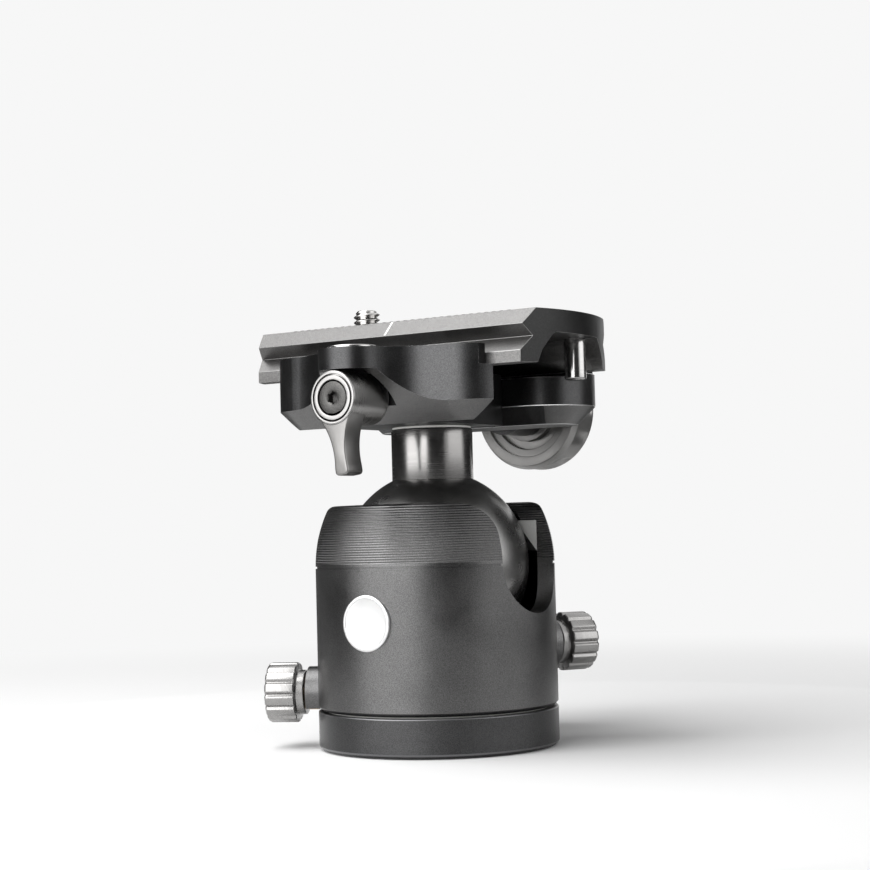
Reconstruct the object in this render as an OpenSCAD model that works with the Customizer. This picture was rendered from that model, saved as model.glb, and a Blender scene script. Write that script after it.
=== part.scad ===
// Tripod ball head with a panning quick-release clamp and a dovetail camera plate.
// Millimetres. The origin is the centre of the tripod face, +Z is up, the camera plate runs along X,
// the clamp's pan lever is on -Y and its clamp knob on +Y. Azimuths are counted from -Y towards +X.

/* [Ball and neck] */
// Radius of the ball
ball_r = 22; // [20:0.5:23]
// Height of the ball's centre above the tripod face
ball_z = 42; // [41.5:0.5:46]
// Radius of the bright neck
neck_r = 9.55; // [8.5:0.05:10]
// Height of the clamp's underside above the ball's centre
clamp_rise = 32.2; // [31:0.1:36]
// Radius of the spindle that the clamp pans on
spindle_r = 6.2; // [5:0.1:6.4]
// Height of the spindle above the clamp's underside
spindle_h = 8.8; // [7:0.1:9.2]

/* [Housing] */
// Room between the ball and the housing's bore
ball_room = 2; // [1.6:0.1:2.6]
// Thickness of the housing's wall
housing_wall = 4; // [3.6:0.1:6]
// Radius of the dome's arc, seen from the side
dome_r = 30.5; // [29.5:0.5:36]
// Height of the rim above the ball's centre
rim_rise = 14.2; // [13.6:0.1:14.8]
// Radius of the rim's rounded outer edge
rim_round = 2.2; // [0.8:0.1:2.6]
// Thickness of the lip over the seat ring
lip_t = 4.35; // [3.6:0.05:4.6]
// Gap between the ball and the lip
lip_gap = 0.7; // [0.4:0.1:1.2]
// Width of the drop notch
notch_w = 22.4; // [21:0.1:24]
// Radius of the notch's lead-in at the rim
notch_flare = 7; // [5:0.5:8]
// Thickness of the housing's floor
floor_t = 7; // [6.5:0.1:7.2]
// Depth of the groove round the housing at the ball's centre
groove_d = 0.35; // [0.2:0.05:0.6]
// Radius of the blank badge
badge_r = 6.3; // [5:0.1:7]
// Height of the badge's centre
badge_z = 29.8; // [28:0.1:31]

/* [Base] */
// Thickness of the base disc
base_t = 8.8; // [8.4:0.1:9.6]
// Thickness of the pan washer between base and housing
washer_t = 0.4; // [0.3:0.1:0.6]
// Radius of the base's pivot hub
hub_r = 13; // [12:0.5:14]
// Radius of the tapped tripod hole (3/8"-16, tap drill)
tripod_hole_r = 3.97; // [3.9:0.01:4.1]
// Depth of the tripod hole
tripod_hole_h = 10; // [8:0.5:10.5]
// Radius of the circle of base screws
base_screw_pcr = 10.5; // [10:0.1:10.6]

/* [Knobs on the housing] */
// Azimuth of the main lock knob
main_az = 206; // [190:1:220]
// Height of the main lock knob's axis
main_z = 25; // [24.5:0.1:25.5]
// Radius of the main lock knob
main_knob_r = 16; // [13:0.5:17]
// Length of the main lock knob
main_knob_l = 17; // [15:0.5:22]
// Azimuth of the drag knob
drag_az = 150; // [146:1:158]
// Height of the drag knob's axis
drag_z = 22.4; // [22:0.1:22.8]
// Azimuth of the pan lock knob
pan_az = 296; // [285:1:310]
// Height of the pan lock knob's axis
pan_z = 12.7; // [12.5:0.1:12.8]
// Radius of the drag and pan lock knobs
small_knob_r = 7; // [6.5:0.5:8.5]
// Length of the drag and pan lock knobs
small_knob_l = 9; // [7:0.5:12]

/* [Clamp] */
// Half length of the clamp along the plate
clamp_x = 30.8; // [29:0.1:31.2]
// Distance of the fixed jaw's side from the axis
near_y = 25.2; // [24.5:0.1:26]
// Distance of the moving jaw's side from the axis
far_y = 32.2; // [31:0.1:34]
// Radius of the clamp's upright corners
corner_r = 11; // [9:0.5:12]
// Size of the 45-degree chamfer under the clamp
under_chamfer = 4.25; // [3:0.25:4.5]
// Height of the rails' seat above the clamp's underside
seat_h = 11.9; // [11.5:0.1:12.4]
// Height of the jaws above the rails' seat
jaw_h = 4.6; // [4:0.1:5]
// Half length of the jaws' gripping lips
lip_x = 27.6; // [24:0.1:28]
// Thickness of the fixed jaw's free ends
jaw_wall = 5.9; // [5:0.1:6.1]
// Half length of the clamp's middle
middle_x = 14.5; // [13.5:0.1:18]
// Distance of the split between the jaws from the axis
split_y = 8.6; // [8.4:0.1:9.4]
// Gap between the closed jaws
split_gap = 0.3; // [0.2:0.05:0.5]
// Radius of the boss that holds the level
boss_r = 8; // [7:0.25:8.5]
// Distance of the boss's tip from the axis
boss_y = 38.1; // [37:0.1:39]
// Radius of the hollow blend beside the boss
boss_blend = 16; // [12:0.5:17]
// Thickness of the boss under the level
boss_h = 4.8; // [4.4:0.1:5.4]

/* [Pan lever] */
// Height of the lever's axis above the clamp's underside
lever_h = 5.4; // [5.2:0.1:5.6]
// Radius of the lever's barrel
lever_r = 6; // [5:0.1:6.1]
// Distance of the lever's face from the axis
lever_y = 38.6; // [37.6:0.1:39.6]
// Length of the lever's arm below its axis
lever_l = 17.1; // [14:0.1:19]
// Thickness of the arm
lever_t = 5.9; // [4:0.1:6]
// Angle of the arm from straight down, towards +X
lever_swing = 7; // [0:1:10]
// Radius of the pocket round the barrel
pocket_r = 7.6; // [6.6:0.1:8]

/* [Clamp knob] */
// Height of the clamp screw above the clamp's underside
screw_h = 5.6; // [5.4:0.1:5.8]
// Radius of the clamp screw (M6)
screw_r = 3; // [2.5:0.25:3.25]
// Radius of the clamp knob
knob_r = 15; // [12:0.5:16]
// Thickness of the clamp knob
knob_t = 10; // [8:0.5:12]
// Length of the sleeve between jaw and knob
sleeve_l = 10.8; // [6:0.1:12]
// Travel of the moving jaw
jaw_travel = 3.75; // [3.5:0.25:4]

/* [Camera plate] */
// Half width of the plate's rails
rail_y = 19; // [18.9:0.05:19.1]
// Upright edge of the rails
rail_edge = 2.6; // [2.2:0.1:3]
// Depth of the dovetail groove
groove_y = 3.2; // [3:0.1:3.4]
// Half width of the plate at its widest, above the groove
flange_y = 18.4; // [18:0.1:18.6]
// Height of the plate's top edge above its widest place
top_rise = 3.6; // [3:0.1:4]
// Size of the small chamfer along the plate's far edge
far_edge = 1; // [0.4:0.1:2]
// Thickness of the plate's deck
deck_t = 5.1; // [4.5:0.1:5.5]
// Half length of the plate
plate_x = 40.8; // [39:0.1:42]
// Radius of the plate's rounded ends
plate_end_r = 44; // [42:1:70]
// Distance of the camera screw from the plate's centre
camera_x = 18; // [12:1:19]
// Radius of the camera screw (1/4"-20)
camera_r = 3.175; // [3.1:0.025:3.2]
// Height of the camera screw above the plate
camera_h = 5.2; // [4.5:0.1:6]
// Radius of the stop pins
pin_r = 2.5; // [2:0.1:2.6]
// Distance of the stop pins from the plate's centre
pin_x = 34.7; // [34:0.1:35.2]
// Offset of the stop pins to either side
pin_y = 8; // [7:0.1:8]
// Length of the stop pins under the deck
pin_l = 9.45; // [8:0.05:9.8]

/* [Fits] */
// Radial clearance of a running fit
run_gap = 0.05; // [0.03:0.01:0.08]
// Radial clearance of a fixed fit
fix_gap = 0.02; // [0.01:0.01:0.04]
// Gap of a piece at its seat before it is pressed home
seat_gap = 0.3; // [0.25:0.05:0.4]

/* [Hidden] */
$fn = 96;
eps = 0.01;
big = 60;

// Radii that follow the ball
bore_r = ball_r + ball_room;
housing_r = bore_r + housing_wall;
base_r = housing_r;

// Base and pivot
housing_bottom = base_t + washer_t;
floor_top = housing_bottom + floor_t;
retainer_t = 2;
retainer_w = 3.5;
retainer_r = hub_r + retainer_w;
hub_top = floor_top + run_gap + retainer_t + seat_gap / 3;
insert_wall = 4;
insert_r = tripod_hole_r + insert_wall;
insert_flange_r = hub_r;
insert_flange_t = 2;
insert_h = tripod_hole_h + 1;
base_screw_r = 1.5;
base_screw_head_r = 2.3;
base_screw_head_h = 1.4;
base_screw_l = 7;
base_screw_count = 3;
base_screw_hex = 1.1;
base_screw_hex_h = 1;
edge = 0.8;

// Housing heights
rim_z = ball_z + rim_rise;
lip_z = rim_z - lip_t;
lip_rim_r = sqrt(pow(ball_r + lip_gap, 2) - pow(rim_rise - 1.6, 2));
ring_r = bore_r - fix_gap;
ring_h = 7.2;
ring_lap = 0.7;
ring_inner_r = sqrt(pow(ball_r, 2) - pow(rim_rise - lip_t, 2)) - ring_lap;
notch_r = notch_w / 2;
badge_proud = 0.25;
badge_edge = 0.3;
badge_face = housing_r + badge_proud;
badge_t = 1.8;
spring_t = 2.2;
spring_w = 6.4;
spring_inner_r = bore_r - spring_w;
cup_bottom = floor_top + spring_t;
cup_top = ball_z - notch_r - 0.8;
cup_gap = seat_gap;
cup_hole_r = 9;

// Knob sets on the housing: plunger, shaft, collar, bushing and boss share one axis
boss_out = 2.6;
bush_t = 2.2;
collar_t = 0.95;
boss_face = housing_r + boss_out;
bush_x = boss_face - bush_t;
collar_x = bush_x - collar_t - run_gap;
plunger_end = collar_x - 0.4;
knob_x = boss_face + 0.6;
main_plunger_r = 4;
main_shaft_r = 2.5;
small_plunger_r = 2.5;
small_shaft_r = 1.5;
main_reach = 6.4;
main_nose = bore_r - main_reach;
main_room = 0.8;
wedge_slope = atan(0.5);
wedge_mid = bore_r - 2;
wedge_past = 0.6;
drag_reach = 3.7;
drag_nose = bore_r - drag_reach;
pan_nose = hub_r + seat_gap;
tap_l = 5;
shaft_start = bore_r + seat_gap;
main_boss_w = 4.5;
small_boss_w = 3.5;
bush_w = 1.6;
grip_ribs = 24;
grip_rib_r = 1.3;
grip_rib_d = 0.6;
grip_t = 2;
main_cone_l = 5;
main_cone_in = 7;
main_cone_out = 4;
main_flange_t = 1.5;
main_lip_t = 1.6;
main_lip_in = 0.6;
main_crown = 5;
main_cap_in = 6;
cap_sink = 1.2;
cap_proud = 0.2;
main_back = knob_x + main_cone_l;
main_grip_start = main_back + main_flange_t;
main_front = knob_x + main_knob_l;
main_lip = main_front - main_lip_t;
main_cap_r = main_knob_r - main_cap_in;
small_neck_in = 1.8;
small_neck_l = 2;
small_edge = 0.8;
small_crown = 2;
small_flutes = 14;
small_flute_r = 1.1;
small_flute_d = 0.55;
small_front = knob_x + small_knob_l;

// Clamp heights, counted from the tripod face
clamp_z = ball_z + clamp_rise;
seat_z = clamp_z + seat_h;
jaw_z = seat_z + jaw_h;
floor_z = seat_z - 1;
lever_z = clamp_z + lever_h;
screw_z = clamp_z + screw_h;
boss_z = jaw_z - boss_h;
neck_top = clamp_z - washer_t;
ball_flat = sqrt(ball_r * ball_r - neck_r * neck_r) - 0.07;
stem_tail_r = 5;
stem_tail_l = 14;
spindle_top = clamp_z + spindle_h;
stem_washer_w = 1.2;
stem_washer_r = spindle_r + stem_washer_w;
stem_washer_t = 1.2;
stem_bolt_r = 2.5;
stem_bolt_head_r = 4.5;
stem_bolt_head_h = 1.6;
stem_bolt_l = 10;
stem_hex = 1.75;
stem_hex_z = 0.4;
boss_mid = boss_y - boss_r;
blend_y = near_y + boss_blend;
blend_x = sqrt(pow(boss_r + boss_blend, 2) - pow(blend_y - boss_mid, 2));
blend_share = boss_r / (boss_r + boss_blend);
level_r = 5.5;
level_sleeve_r = 4.9;
level_bore_r = 4.2;
level_depth = 3.4;
level_rim = 0.7;
level_sink = 0.25;
level_y = boss_mid + 0.6;

// Lever and its bolt and shoe
lever_back = near_y + 0.2;
lever_washer_t = 0.6;
lever_washer_in = 0.8;
pocket_y = lever_back - lever_washer_t;
bolt_r = 2.5;
bolt_head_r = 3.8;
bolt_head_h = 3.4;
bolt_end = 11.2;
bolt_sink = 0.15;
bolt_hex = 1.44;
bolt_hex_h = 2.2;
shoe_r = spindle_h - lever_h - 0.2;
shoe_start = spindle_r + seat_gap;
shoe_end = 15.6;
arm_waist = 1.6;
arm_flank_r = 10;
arm_waist_z = sqrt(pow(lever_r + arm_flank_r - 0.08, 2) - pow(arm_waist + arm_flank_r, 2));
arm_top = lever_r * (arm_waist + arm_flank_r) / (lever_r + arm_flank_r) - 0.05;
arm_tip_w = 1.9;
arm_step = 0.15;

// Clamp screw, nut, guides and knob
nut_wall = 1.5;
nut_r = screw_r + nut_wall;
nut_end = 21.6;
guide_r = 1.5;
guide_x = 10.5;
guide_in = 1;
guide_grip = 11.65;
guide_out = split_y + jaw_travel + guide_grip;
spring_r = 2.9;
spring_wall = 0.9;
spring_l = 10;
sleeve_r = 6.5;
screw_start = 12.4;
knob_y = far_y + sleeve_l;
knob_scallops = 12;
knob_scallop_r = 5;
knob_scallop_d = 0.5;
knob_cap_r = 9;
knob_front = knob_y + knob_t;
knob_edge = 1.5;
knob_rim_w = 3.2;
knob_step_w = 5.1;
knob_step_d = 1;
knob_hollow_d = 2.4;
knob_hub_w = 1.3;
knob_crown = 3;

// Camera plate heights
edge_z = seat_z + rail_edge;
groove_z = edge_z + groove_y;
flange_z = groove_z + flange_y - (rail_y - groove_y);
plate_top = flange_z + top_rise;
deck_z = plate_top - deck_t;
channel_top = 9.2;
channel_bottom = 14.6;
ledge_past = 0.6;
dovetail_gap = 0.04;
slot_r = camera_r + 0.4;
head_r = 7.2;
head_t = 2.2;
slider_t = 0.5;
slider_in = 0.4;
slider_l = 2;
camera_neck_r = camera_r - 0.7;
camera_tip = 0.6;
camera_thread_z = plate_top + 0.4;
camera_top = plate_top + camera_h;
head_z = deck_z - slider_t - head_t;
ring_wire_r = 0.9;
ring_mid_r = 8.3;
ring_z = head_z - 0.95;
ring_ear_x = 4.6;
ring_ear = [3.6, 2, 4];
pin_edge = 0.3;
pin_peg_r = pin_r - 1;
pin_peg_l = 2.8;
pad_t = 0.9;
pad_proud = 0.35;
pad_w = 6.6;
pad_y = 9.6;
pad_x = 31;

// Shapes used by several pieces

// A rod along +X from x0 to x1
module rod(r, x0, x1) {
    translate([x0, 0, 0]) rotate([0, 90, 0]) cylinder(r = r, h = x1 - x0);
}

// A tube along +X from x0 to x1
module sleeve(r, bore, x0, x1) {
    difference() {
        rod(r, x0, x1);
        rod(bore, x0 - 1, x1 + 1);
    }
}

// Places a child's +X axis radially at an azimuth and a height
module at_knob(az, z) {
    translate([0, 0, z]) rotate([0, 0, az - 90]) children();
}

// Places a child's +X axis along +Y at a height above the tripod face
module along_y(z) {
    translate([0, 0, z]) rotate([0, 0, 90]) children();
}

// An upright ring
module ring(r, bore, z0, z1) {
    translate([0, 0, z0]) difference() {
        cylinder(r = r, h = z1 - z0);
        translate([0, 0, -1]) cylinder(r = bore, h = z1 - z0 + 2);
    }
}

// The drop notch: a round-bottomed slot towards +X with rounded lead-ins at the rim
module notch() {
    translate([4, 0, ball_z]) {
        rotate([0, 90, 0]) cylinder(r = notch_r, h = big);
        translate([0, -notch_r, 0]) cube([big, notch_w, big]);
        difference() {
            translate([0, -notch_r - notch_flare, rim_rise - notch_flare])
                cube([big, notch_w + 2 * notch_flare, big]);
            for (side = [-1, 1])
                translate([-1, side * (notch_r + notch_flare), rim_rise - notch_flare])
                    rotate([0, 90, 0]) cylinder(r = notch_flare, h = big + 2);
        }
    }
}

// The boss that carries a knob set on the housing
module knob_boss(plunger_r, wall) {
    sleeve(plunger_r + wall, plunger_r, bore_r + eps, boss_face);
}

// Everything that a knob set needs cut out of the housing
module knob_bore(plunger_r) {
    rod(plunger_r + run_gap, bore_r - 3, collar_x);
    rod(plunger_r + bush_w + fix_gap, collar_x - 0.05, boss_face + 1);
}

// The bushing that keeps a knob's shaft in the housing
module bushing(plunger_r, shaft_r) {
    sleeve(plunger_r + bush_w, shaft_r + run_gap, bush_x, boss_face);
}

// A plunger with a tapped bore for the shaft's end
module plunger_blank(plunger_r, shaft_r, nose) {
    difference() {
        rod(plunger_r, nose, plunger_end);
        rod(shaft_r + run_gap, plunger_end - tap_l, plunger_end + 1);
    }
}

// A shaft with its collar behind the bushing
module captive_shaft(plunger_r, shaft_r, end) {
    rod(shaft_r, shaft_start, end);
    rod(plunger_r + bush_w / 2, collar_x + run_gap / 2, collar_x + run_gap / 2 + collar_t);
}

// A small knob: a neck, then a fluted grip
module small_knob() {
    difference() {
        union() {
            rod(small_knob_r - small_neck_in, knob_x, knob_x + small_neck_l + eps);
            rod(small_knob_r, knob_x + small_neck_l, small_front - small_edge);
            translate([small_front - small_edge, 0, 0]) rotate([0, 90, 0])
                cylinder(r1 = small_knob_r, r2 = small_knob_r - small_edge, h = small_edge);
        }
        rod(small_shaft_r + fix_gap, knob_x - 1, small_front - small_crown);
        for (i = [0 : small_flutes - 1])
            rotate([i * 360 / small_flutes, 0, 0])
                translate([0, small_knob_r + small_flute_r - small_flute_d, 0])
                    rod(small_flute_r, knob_x + small_neck_l / 2, small_front + 1, $fn = 24);
    }
}

// A block of the clamp from y0 to y1: upright rounded corners and a chamfered underside
module clamp_blank(y0, y1) {
    c = under_chamfer;
    top = jaw_z - clamp_z;
    mid_x = clamp_x - corner_r;
    near_mid = y0 + corner_r;
    far_mid = y1 - corner_r;
    translate([0, 0, clamp_z]) {
        rotate([90, 0, 90]) translate([0, 0, -mid_x]) linear_extrude(2 * mid_x)
            polygon([[y0 + c, 0], [y1 - c, 0], [y1, c], [y1, top], [y0, top], [y0, c]]);
        for (turn = [0, 180])
            rotate([0, 0, turn]) translate([mid_x, 0, 0])
                rotate([90, 0, 0]) translate([0, 0, turn == 0 ? -far_mid : near_mid])
                    linear_extrude(far_mid - near_mid)
                        polygon([[0, 0], [corner_r - c, 0], [corner_r, c], [corner_r, top], [0, top]]);
        for (corner = [
            [mid_x, far_mid, 0], [-mid_x, far_mid, 90], [-mid_x, near_mid, 180], [mid_x, near_mid, 270]
        ])
            translate([corner[0], corner[1], 0]) rotate([0, 0, corner[2]])
                rotate_extrude(angle = 90)
                    polygon([[0, 0], [corner_r - c, 0], [corner_r, c], [corner_r, top], [0, top]]);
    }
}

// The bell-shaped boss in plan
module boss_plan() {
    translate([0, -boss_mid]) circle(r = boss_r);
    difference() {
        polygon([
            [-blend_x, -near_y + 1], [blend_x, -near_y + 1], [blend_x, -near_y],
            [blend_x * blend_share, -boss_mid - (blend_y - boss_mid) * blend_share],
            [-blend_x * blend_share, -boss_mid - (blend_y - boss_mid) * blend_share],
            [-blend_x, -near_y]
        ]);
        for (side = [-1, 1])
            translate([side * blend_x, -blend_y]) circle(r = boss_blend);
    }
}

// The space that the plate's rails take between the jaws, seen along X
module rail_space() {
    y = rail_y + dovetail_gap;
    corner_z = edge_z + dovetail_gap;
    rise = jaw_h + 1;
    rotate([90, 0, 90]) translate([0, 0, -big]) linear_extrude(2 * big)
        polygon([
            [-y, seat_z], [y, seat_z], [y, corner_z], [y - rise, corner_z + rise],
            [rise - y, corner_z + rise], [-y, corner_z]
        ]);
}

// The ends of the jaws above the seat, past the gripping lips
module lip_ends() {
    for (side = [-1, 1])
        translate([side * (lip_x + big / 2), 0, seat_z + big / 2]) cube([big, 2 * big, big], center = true);
}

// Base and pivot

module base_disc() {
    color([0.1, 0.1, 0.11]) difference() {
        union() {
            cylinder(r1 = base_r - edge, r2 = base_r, h = edge);
            translate([0, 0, edge]) cylinder(r = base_r, h = base_t - edge);
            cylinder(r = hub_r, h = hub_top);
        }
        translate([0, 0, -eps]) cylinder(r = insert_flange_r + fix_gap, h = insert_flange_t + eps);
        translate([0, 0, -eps]) cylinder(r = insert_r + fix_gap, h = insert_h + eps);
        for (i = [0 : base_screw_count - 1])
            rotate([0, 0, i * 360 / base_screw_count]) translate([base_screw_pcr, 0, 0])
                cylinder(r = base_screw_r + fix_gap, h = base_screw_l + 0.4, $fn = 48);
    }
}

module thread_insert() {
    color([0.62, 0.62, 0.63]) difference() {
        union() {
            cylinder(r = insert_flange_r, h = insert_flange_t);
            cylinder(r = insert_r, h = insert_h);
        }
        translate([0, 0, -1]) cylinder(r = tripod_hole_r, h = tripod_hole_h + 1);
        for (i = [0 : base_screw_count - 1])
            rotate([0, 0, i * 360 / base_screw_count]) translate([base_screw_pcr, 0, 0]) {
                cylinder(r = base_screw_r + fix_gap, h = base_screw_l, $fn = 48);
                translate([0, 0, -eps]) cylinder(r1 = base_screw_head_r + 2 * fix_gap,
                                                 r2 = base_screw_r + 2 * fix_gap,
                                                 h = base_screw_head_h + eps, $fn = 48);
            }
    }
}

module base_screws() {
    color([0.3, 0.3, 0.31]) for (i = [0 : base_screw_count - 1])
        rotate([0, 0, i * 360 / base_screw_count]) translate([base_screw_pcr, 0, 0]) difference() {
            union() {
                translate([0, 0, 0.05]) cylinder(r1 = base_screw_head_r, r2 = base_screw_r,
                                                 h = base_screw_head_h, $fn = 48);
                translate([0, 0, 0.05]) cylinder(r = base_screw_r, h = base_screw_l, $fn = 48);
            }
            translate([0, 0, -eps]) cylinder(r = base_screw_hex, h = base_screw_hex_h, $fn = 6);
        }
}

module pan_retainer() {
    color([0.55, 0.55, 0.56])
        ring(retainer_r, hub_r + fix_gap, floor_top + run_gap, floor_top + run_gap + retainer_t);
}

module pan_washer() {
    color([0.85, 0.85, 0.83]) ring(housing_r - 2, hub_r + 1, base_t, housing_bottom);
}

// Housing and what is fixed in it

// What the rounded rim takes off the dome's sharp edge
module rim_corner() {
    mid = [
        housing_r - dome_r + sqrt(pow(dome_r - rim_round, 2) - pow(rim_rise - rim_round, 2)),
        rim_z - rim_round
    ];
    slope = atan2(rim_rise - rim_round, mid[0] - housing_r + dome_r);
    reach = 2 * rim_round;
    difference() {
        polygon([
            mid, [mid[0], rim_z + 1], [mid[0] + reach, rim_z + 1],
            [mid[0] + reach * cos(slope), mid[1] + reach * sin(slope)]
        ]);
        translate(mid) circle(r = rim_round);
    }
}

module housing_profile() {
    difference() {
        union() {
            translate([0, housing_bottom]) square([housing_r, ball_z - housing_bottom]);
            intersection() {
                translate([housing_r - dome_r, ball_z]) circle(r = dome_r, $fn = 180);
                translate([0, ball_z - eps]) square([housing_r, rim_rise + eps]);
            }
        }
        rim_corner();
        translate([housing_r - edge, housing_bottom - eps])
            polygon([[0, 0], [edge + 1, 0], [edge + 1, edge + 1]]);
        translate([housing_r - groove_d, ball_z - 0.3]) square([1, 0.6]);
        polygon([
            [0, floor_top], [bore_r, floor_top], [bore_r, lip_z], [0, lip_z]
        ]);
        translate([0, housing_bottom - 1]) square([hub_r + run_gap, floor_t + 2]);
        translate([0, lip_z - 1]) square([lip_rim_r, lip_t + 2]);
    }
}

module housing() {
    color([0.13, 0.13, 0.14]) difference() {
        union() {
            rotate_extrude() housing_profile();
            at_knob(main_az, main_z) knob_boss(main_plunger_r, main_boss_w);
            at_knob(drag_az, drag_z) knob_boss(small_plunger_r, small_boss_w);
            at_knob(pan_az, pan_z) intersection() {
                knob_boss(small_plunger_r, small_boss_w);
                translate([0, -big, housing_bottom - pan_z]) cube([big, 2 * big, big]);
            }
        }
        translate([0, 0, ball_z]) sphere(r = ball_r + lip_gap);
        notch();
        at_knob(main_az, main_z) knob_bore(main_plunger_r);
        at_knob(drag_az, drag_z) knob_bore(small_plunger_r);
        at_knob(pan_az, pan_z) {
            knob_bore(small_plunger_r);
            rod(small_plunger_r + run_gap, hub_r - 1, bore_r);
        }
        translate([0, 0, badge_z]) rotate([90, 0, 0])
            translate([0, 0, badge_face - badge_t]) cylinder(r = badge_r + fix_gap, h = big);
    }
}

module seat_ring() {
    color([0.72, 0.72, 0.71]) difference() {
        rotate_extrude() polygon([
            [ring_inner_r, lip_z - fix_gap], [ring_r, lip_z - fix_gap], [ring_r, lip_z - ring_h]
        ]);
        translate([0, 0, ball_z]) sphere(r = ball_r + run_gap);
        notch();
    }
}

module badge_disc() {
    color([0.85, 0.85, 0.85]) translate([0, 0, badge_z]) rotate([90, 0, 0])
        translate([0, 0, badge_face - badge_t]) {
            cylinder(r = badge_r, h = badge_t - badge_edge);
            translate([0, 0, badge_t - badge_edge])
                cylinder(r1 = badge_r, r2 = badge_r - badge_edge, h = badge_edge);
        }
}

module cup_spring() {
    color([0.6, 0.6, 0.6]) ring(bore_r - 0.6, spring_inner_r, floor_top, cup_bottom);
}

module lower_cup() {
    color([0.3, 0.3, 0.3]) difference() {
        translate([0, 0, cup_bottom]) cylinder(r = bore_r - run_gap, h = cup_top - cup_bottom);
        translate([0, 0, ball_z]) sphere(r = ball_r + cup_gap);
        translate([0, 0, cup_bottom - 1]) cylinder(r = cup_hole_r, h = big);
        at_knob(main_az, main_z) intersection() {
            translate([main_nose - main_room, -main_plunger_r - seat_gap, -main_plunger_r - seat_gap])
                cube([big, 2 * (main_plunger_r + seat_gap), big]);
            translate([wedge_mid, -big, fix_gap]) rotate([0, -wedge_slope, 0])
                translate([-big, 0, -big]) cube([2 * big, 2 * big, big]);
        }
        at_knob(drag_az, drag_z) rod(small_plunger_r + seat_gap, drag_nose - main_room, big);
    }
}

// Main lock: knob, shaft, bushing and the plunger that lifts the cup

module main_bushing() {
    color([0.7, 0.6, 0.4]) at_knob(main_az, main_z) bushing(main_plunger_r, main_shaft_r);
}

module main_plunger() {
    color([0.7, 0.6, 0.4]) at_knob(main_az, main_z) difference() {
        plunger_blank(main_plunger_r, main_shaft_r, main_nose);
        intersection() {
            translate([main_nose - 1, -big / 2, -main_plunger_r])
                cube([bore_r + wedge_past + 1 - main_nose, big, big]);
            translate([wedge_mid, -big, 0]) rotate([0, -wedge_slope, 0])
                translate([-big, 0, 0]) cube([2 * big, 2 * big, big]);
        }
    }
}

module main_shaft() {
    color([0.6, 0.6, 0.6]) at_knob(main_az, main_z)
        captive_shaft(main_plunger_r, main_shaft_r, main_front - main_crown);
}

module main_knob() {
    color([0.16, 0.16, 0.17]) at_knob(main_az, main_z) difference() {
        union() {
            translate([knob_x, 0, 0]) rotate([0, 90, 0])
                cylinder(r1 = main_knob_r - main_cone_in, r2 = main_knob_r - main_cone_out, h = main_cone_l);
            rod(main_knob_r, main_back - eps, main_grip_start);
            rod(main_knob_r - grip_t, main_back - eps, main_lip + eps);
            rod(main_knob_r - main_lip_in, main_lip, main_front);
        }
        rod(main_shaft_r + fix_gap, knob_x - 1, main_front - main_crown + fix_gap);
        rod(main_cap_r + fix_gap, main_front - cap_sink, main_front + 1);
    }
}

module main_grip() {
    color([0.08, 0.08, 0.08]) at_knob(main_az, main_z) difference() {
        sleeve(main_knob_r, main_knob_r - grip_t + fix_gap, main_grip_start + fix_gap, main_lip - fix_gap);
        for (i = [0 : grip_ribs - 1])
            rotate([i * 360 / grip_ribs, 0, 0]) translate([0, main_knob_r + grip_rib_r - grip_rib_d, 0])
                rod(grip_rib_r, main_back, main_front, $fn = 24);
    }
}

module main_cap() {
    color([0.7, 0.7, 0.71]) at_knob(main_az, main_z)
        rod(main_cap_r, main_front - cap_sink + fix_gap, main_front + cap_proud);
}

// Drag knob set

module drag_bushing() {
    color([0.7, 0.6, 0.4]) at_knob(drag_az, drag_z) bushing(small_plunger_r, small_shaft_r);
}

module drag_plunger() {
    color([0.7, 0.6, 0.4]) at_knob(drag_az, drag_z)
        plunger_blank(small_plunger_r, small_shaft_r, drag_nose);
}

module drag_shaft() {
    color([0.6, 0.6, 0.6]) at_knob(drag_az, drag_z)
        captive_shaft(small_plunger_r, small_shaft_r, small_front - small_crown - fix_gap);
}

module drag_knob() {
    color([0.72, 0.72, 0.74]) at_knob(drag_az, drag_z) small_knob();
}

// Pan lock knob set

module pan_bushing() {
    color([0.7, 0.6, 0.4]) at_knob(pan_az, pan_z) bushing(small_plunger_r, small_shaft_r);
}

module pan_plunger() {
    color([0.7, 0.6, 0.4]) at_knob(pan_az, pan_z) difference() {
        plunger_blank(small_plunger_r, small_shaft_r, hub_r);
        translate([0, 0, -big]) cylinder(r = pan_nose, h = 2 * big);
    }
}

module pan_shaft() {
    color([0.6, 0.6, 0.6]) at_knob(pan_az, pan_z)
        captive_shaft(small_plunger_r, small_shaft_r, small_front - small_crown - fix_gap);
}

module pan_knob() {
    color([0.72, 0.72, 0.74]) at_knob(pan_az, pan_z) small_knob();
}

// Ball and neck

module ball() {
    color([0.2, 0.2, 0.2]) translate([0, 0, ball_z]) difference() {
        sphere(r = ball_r, $fn = 180);
        translate([-big, -big, ball_flat]) cube([2 * big, 2 * big, big]);
        translate([0, 0, ball_flat - stem_tail_l - 0.5]) cylinder(r = stem_tail_r + fix_gap, h = big);
    }
}

module neck_stem() {
    color([0.8, 0.8, 0.81]) difference() {
        union() {
            translate([0, 0, ball_z + ball_flat]) cylinder(r = neck_r, h = neck_top - ball_z - ball_flat);
            translate([0, 0, ball_z + ball_flat - stem_tail_l])
                cylinder(r = stem_tail_r, h = stem_tail_l + 1);
            translate([0, 0, neck_top - 1]) cylinder(r = spindle_r, h = spindle_top - neck_top + 1);
        }
        translate([0, 0, spindle_top - stem_bolt_l]) cylinder(r = stem_bolt_r + fix_gap, h = big);
    }
}

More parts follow.
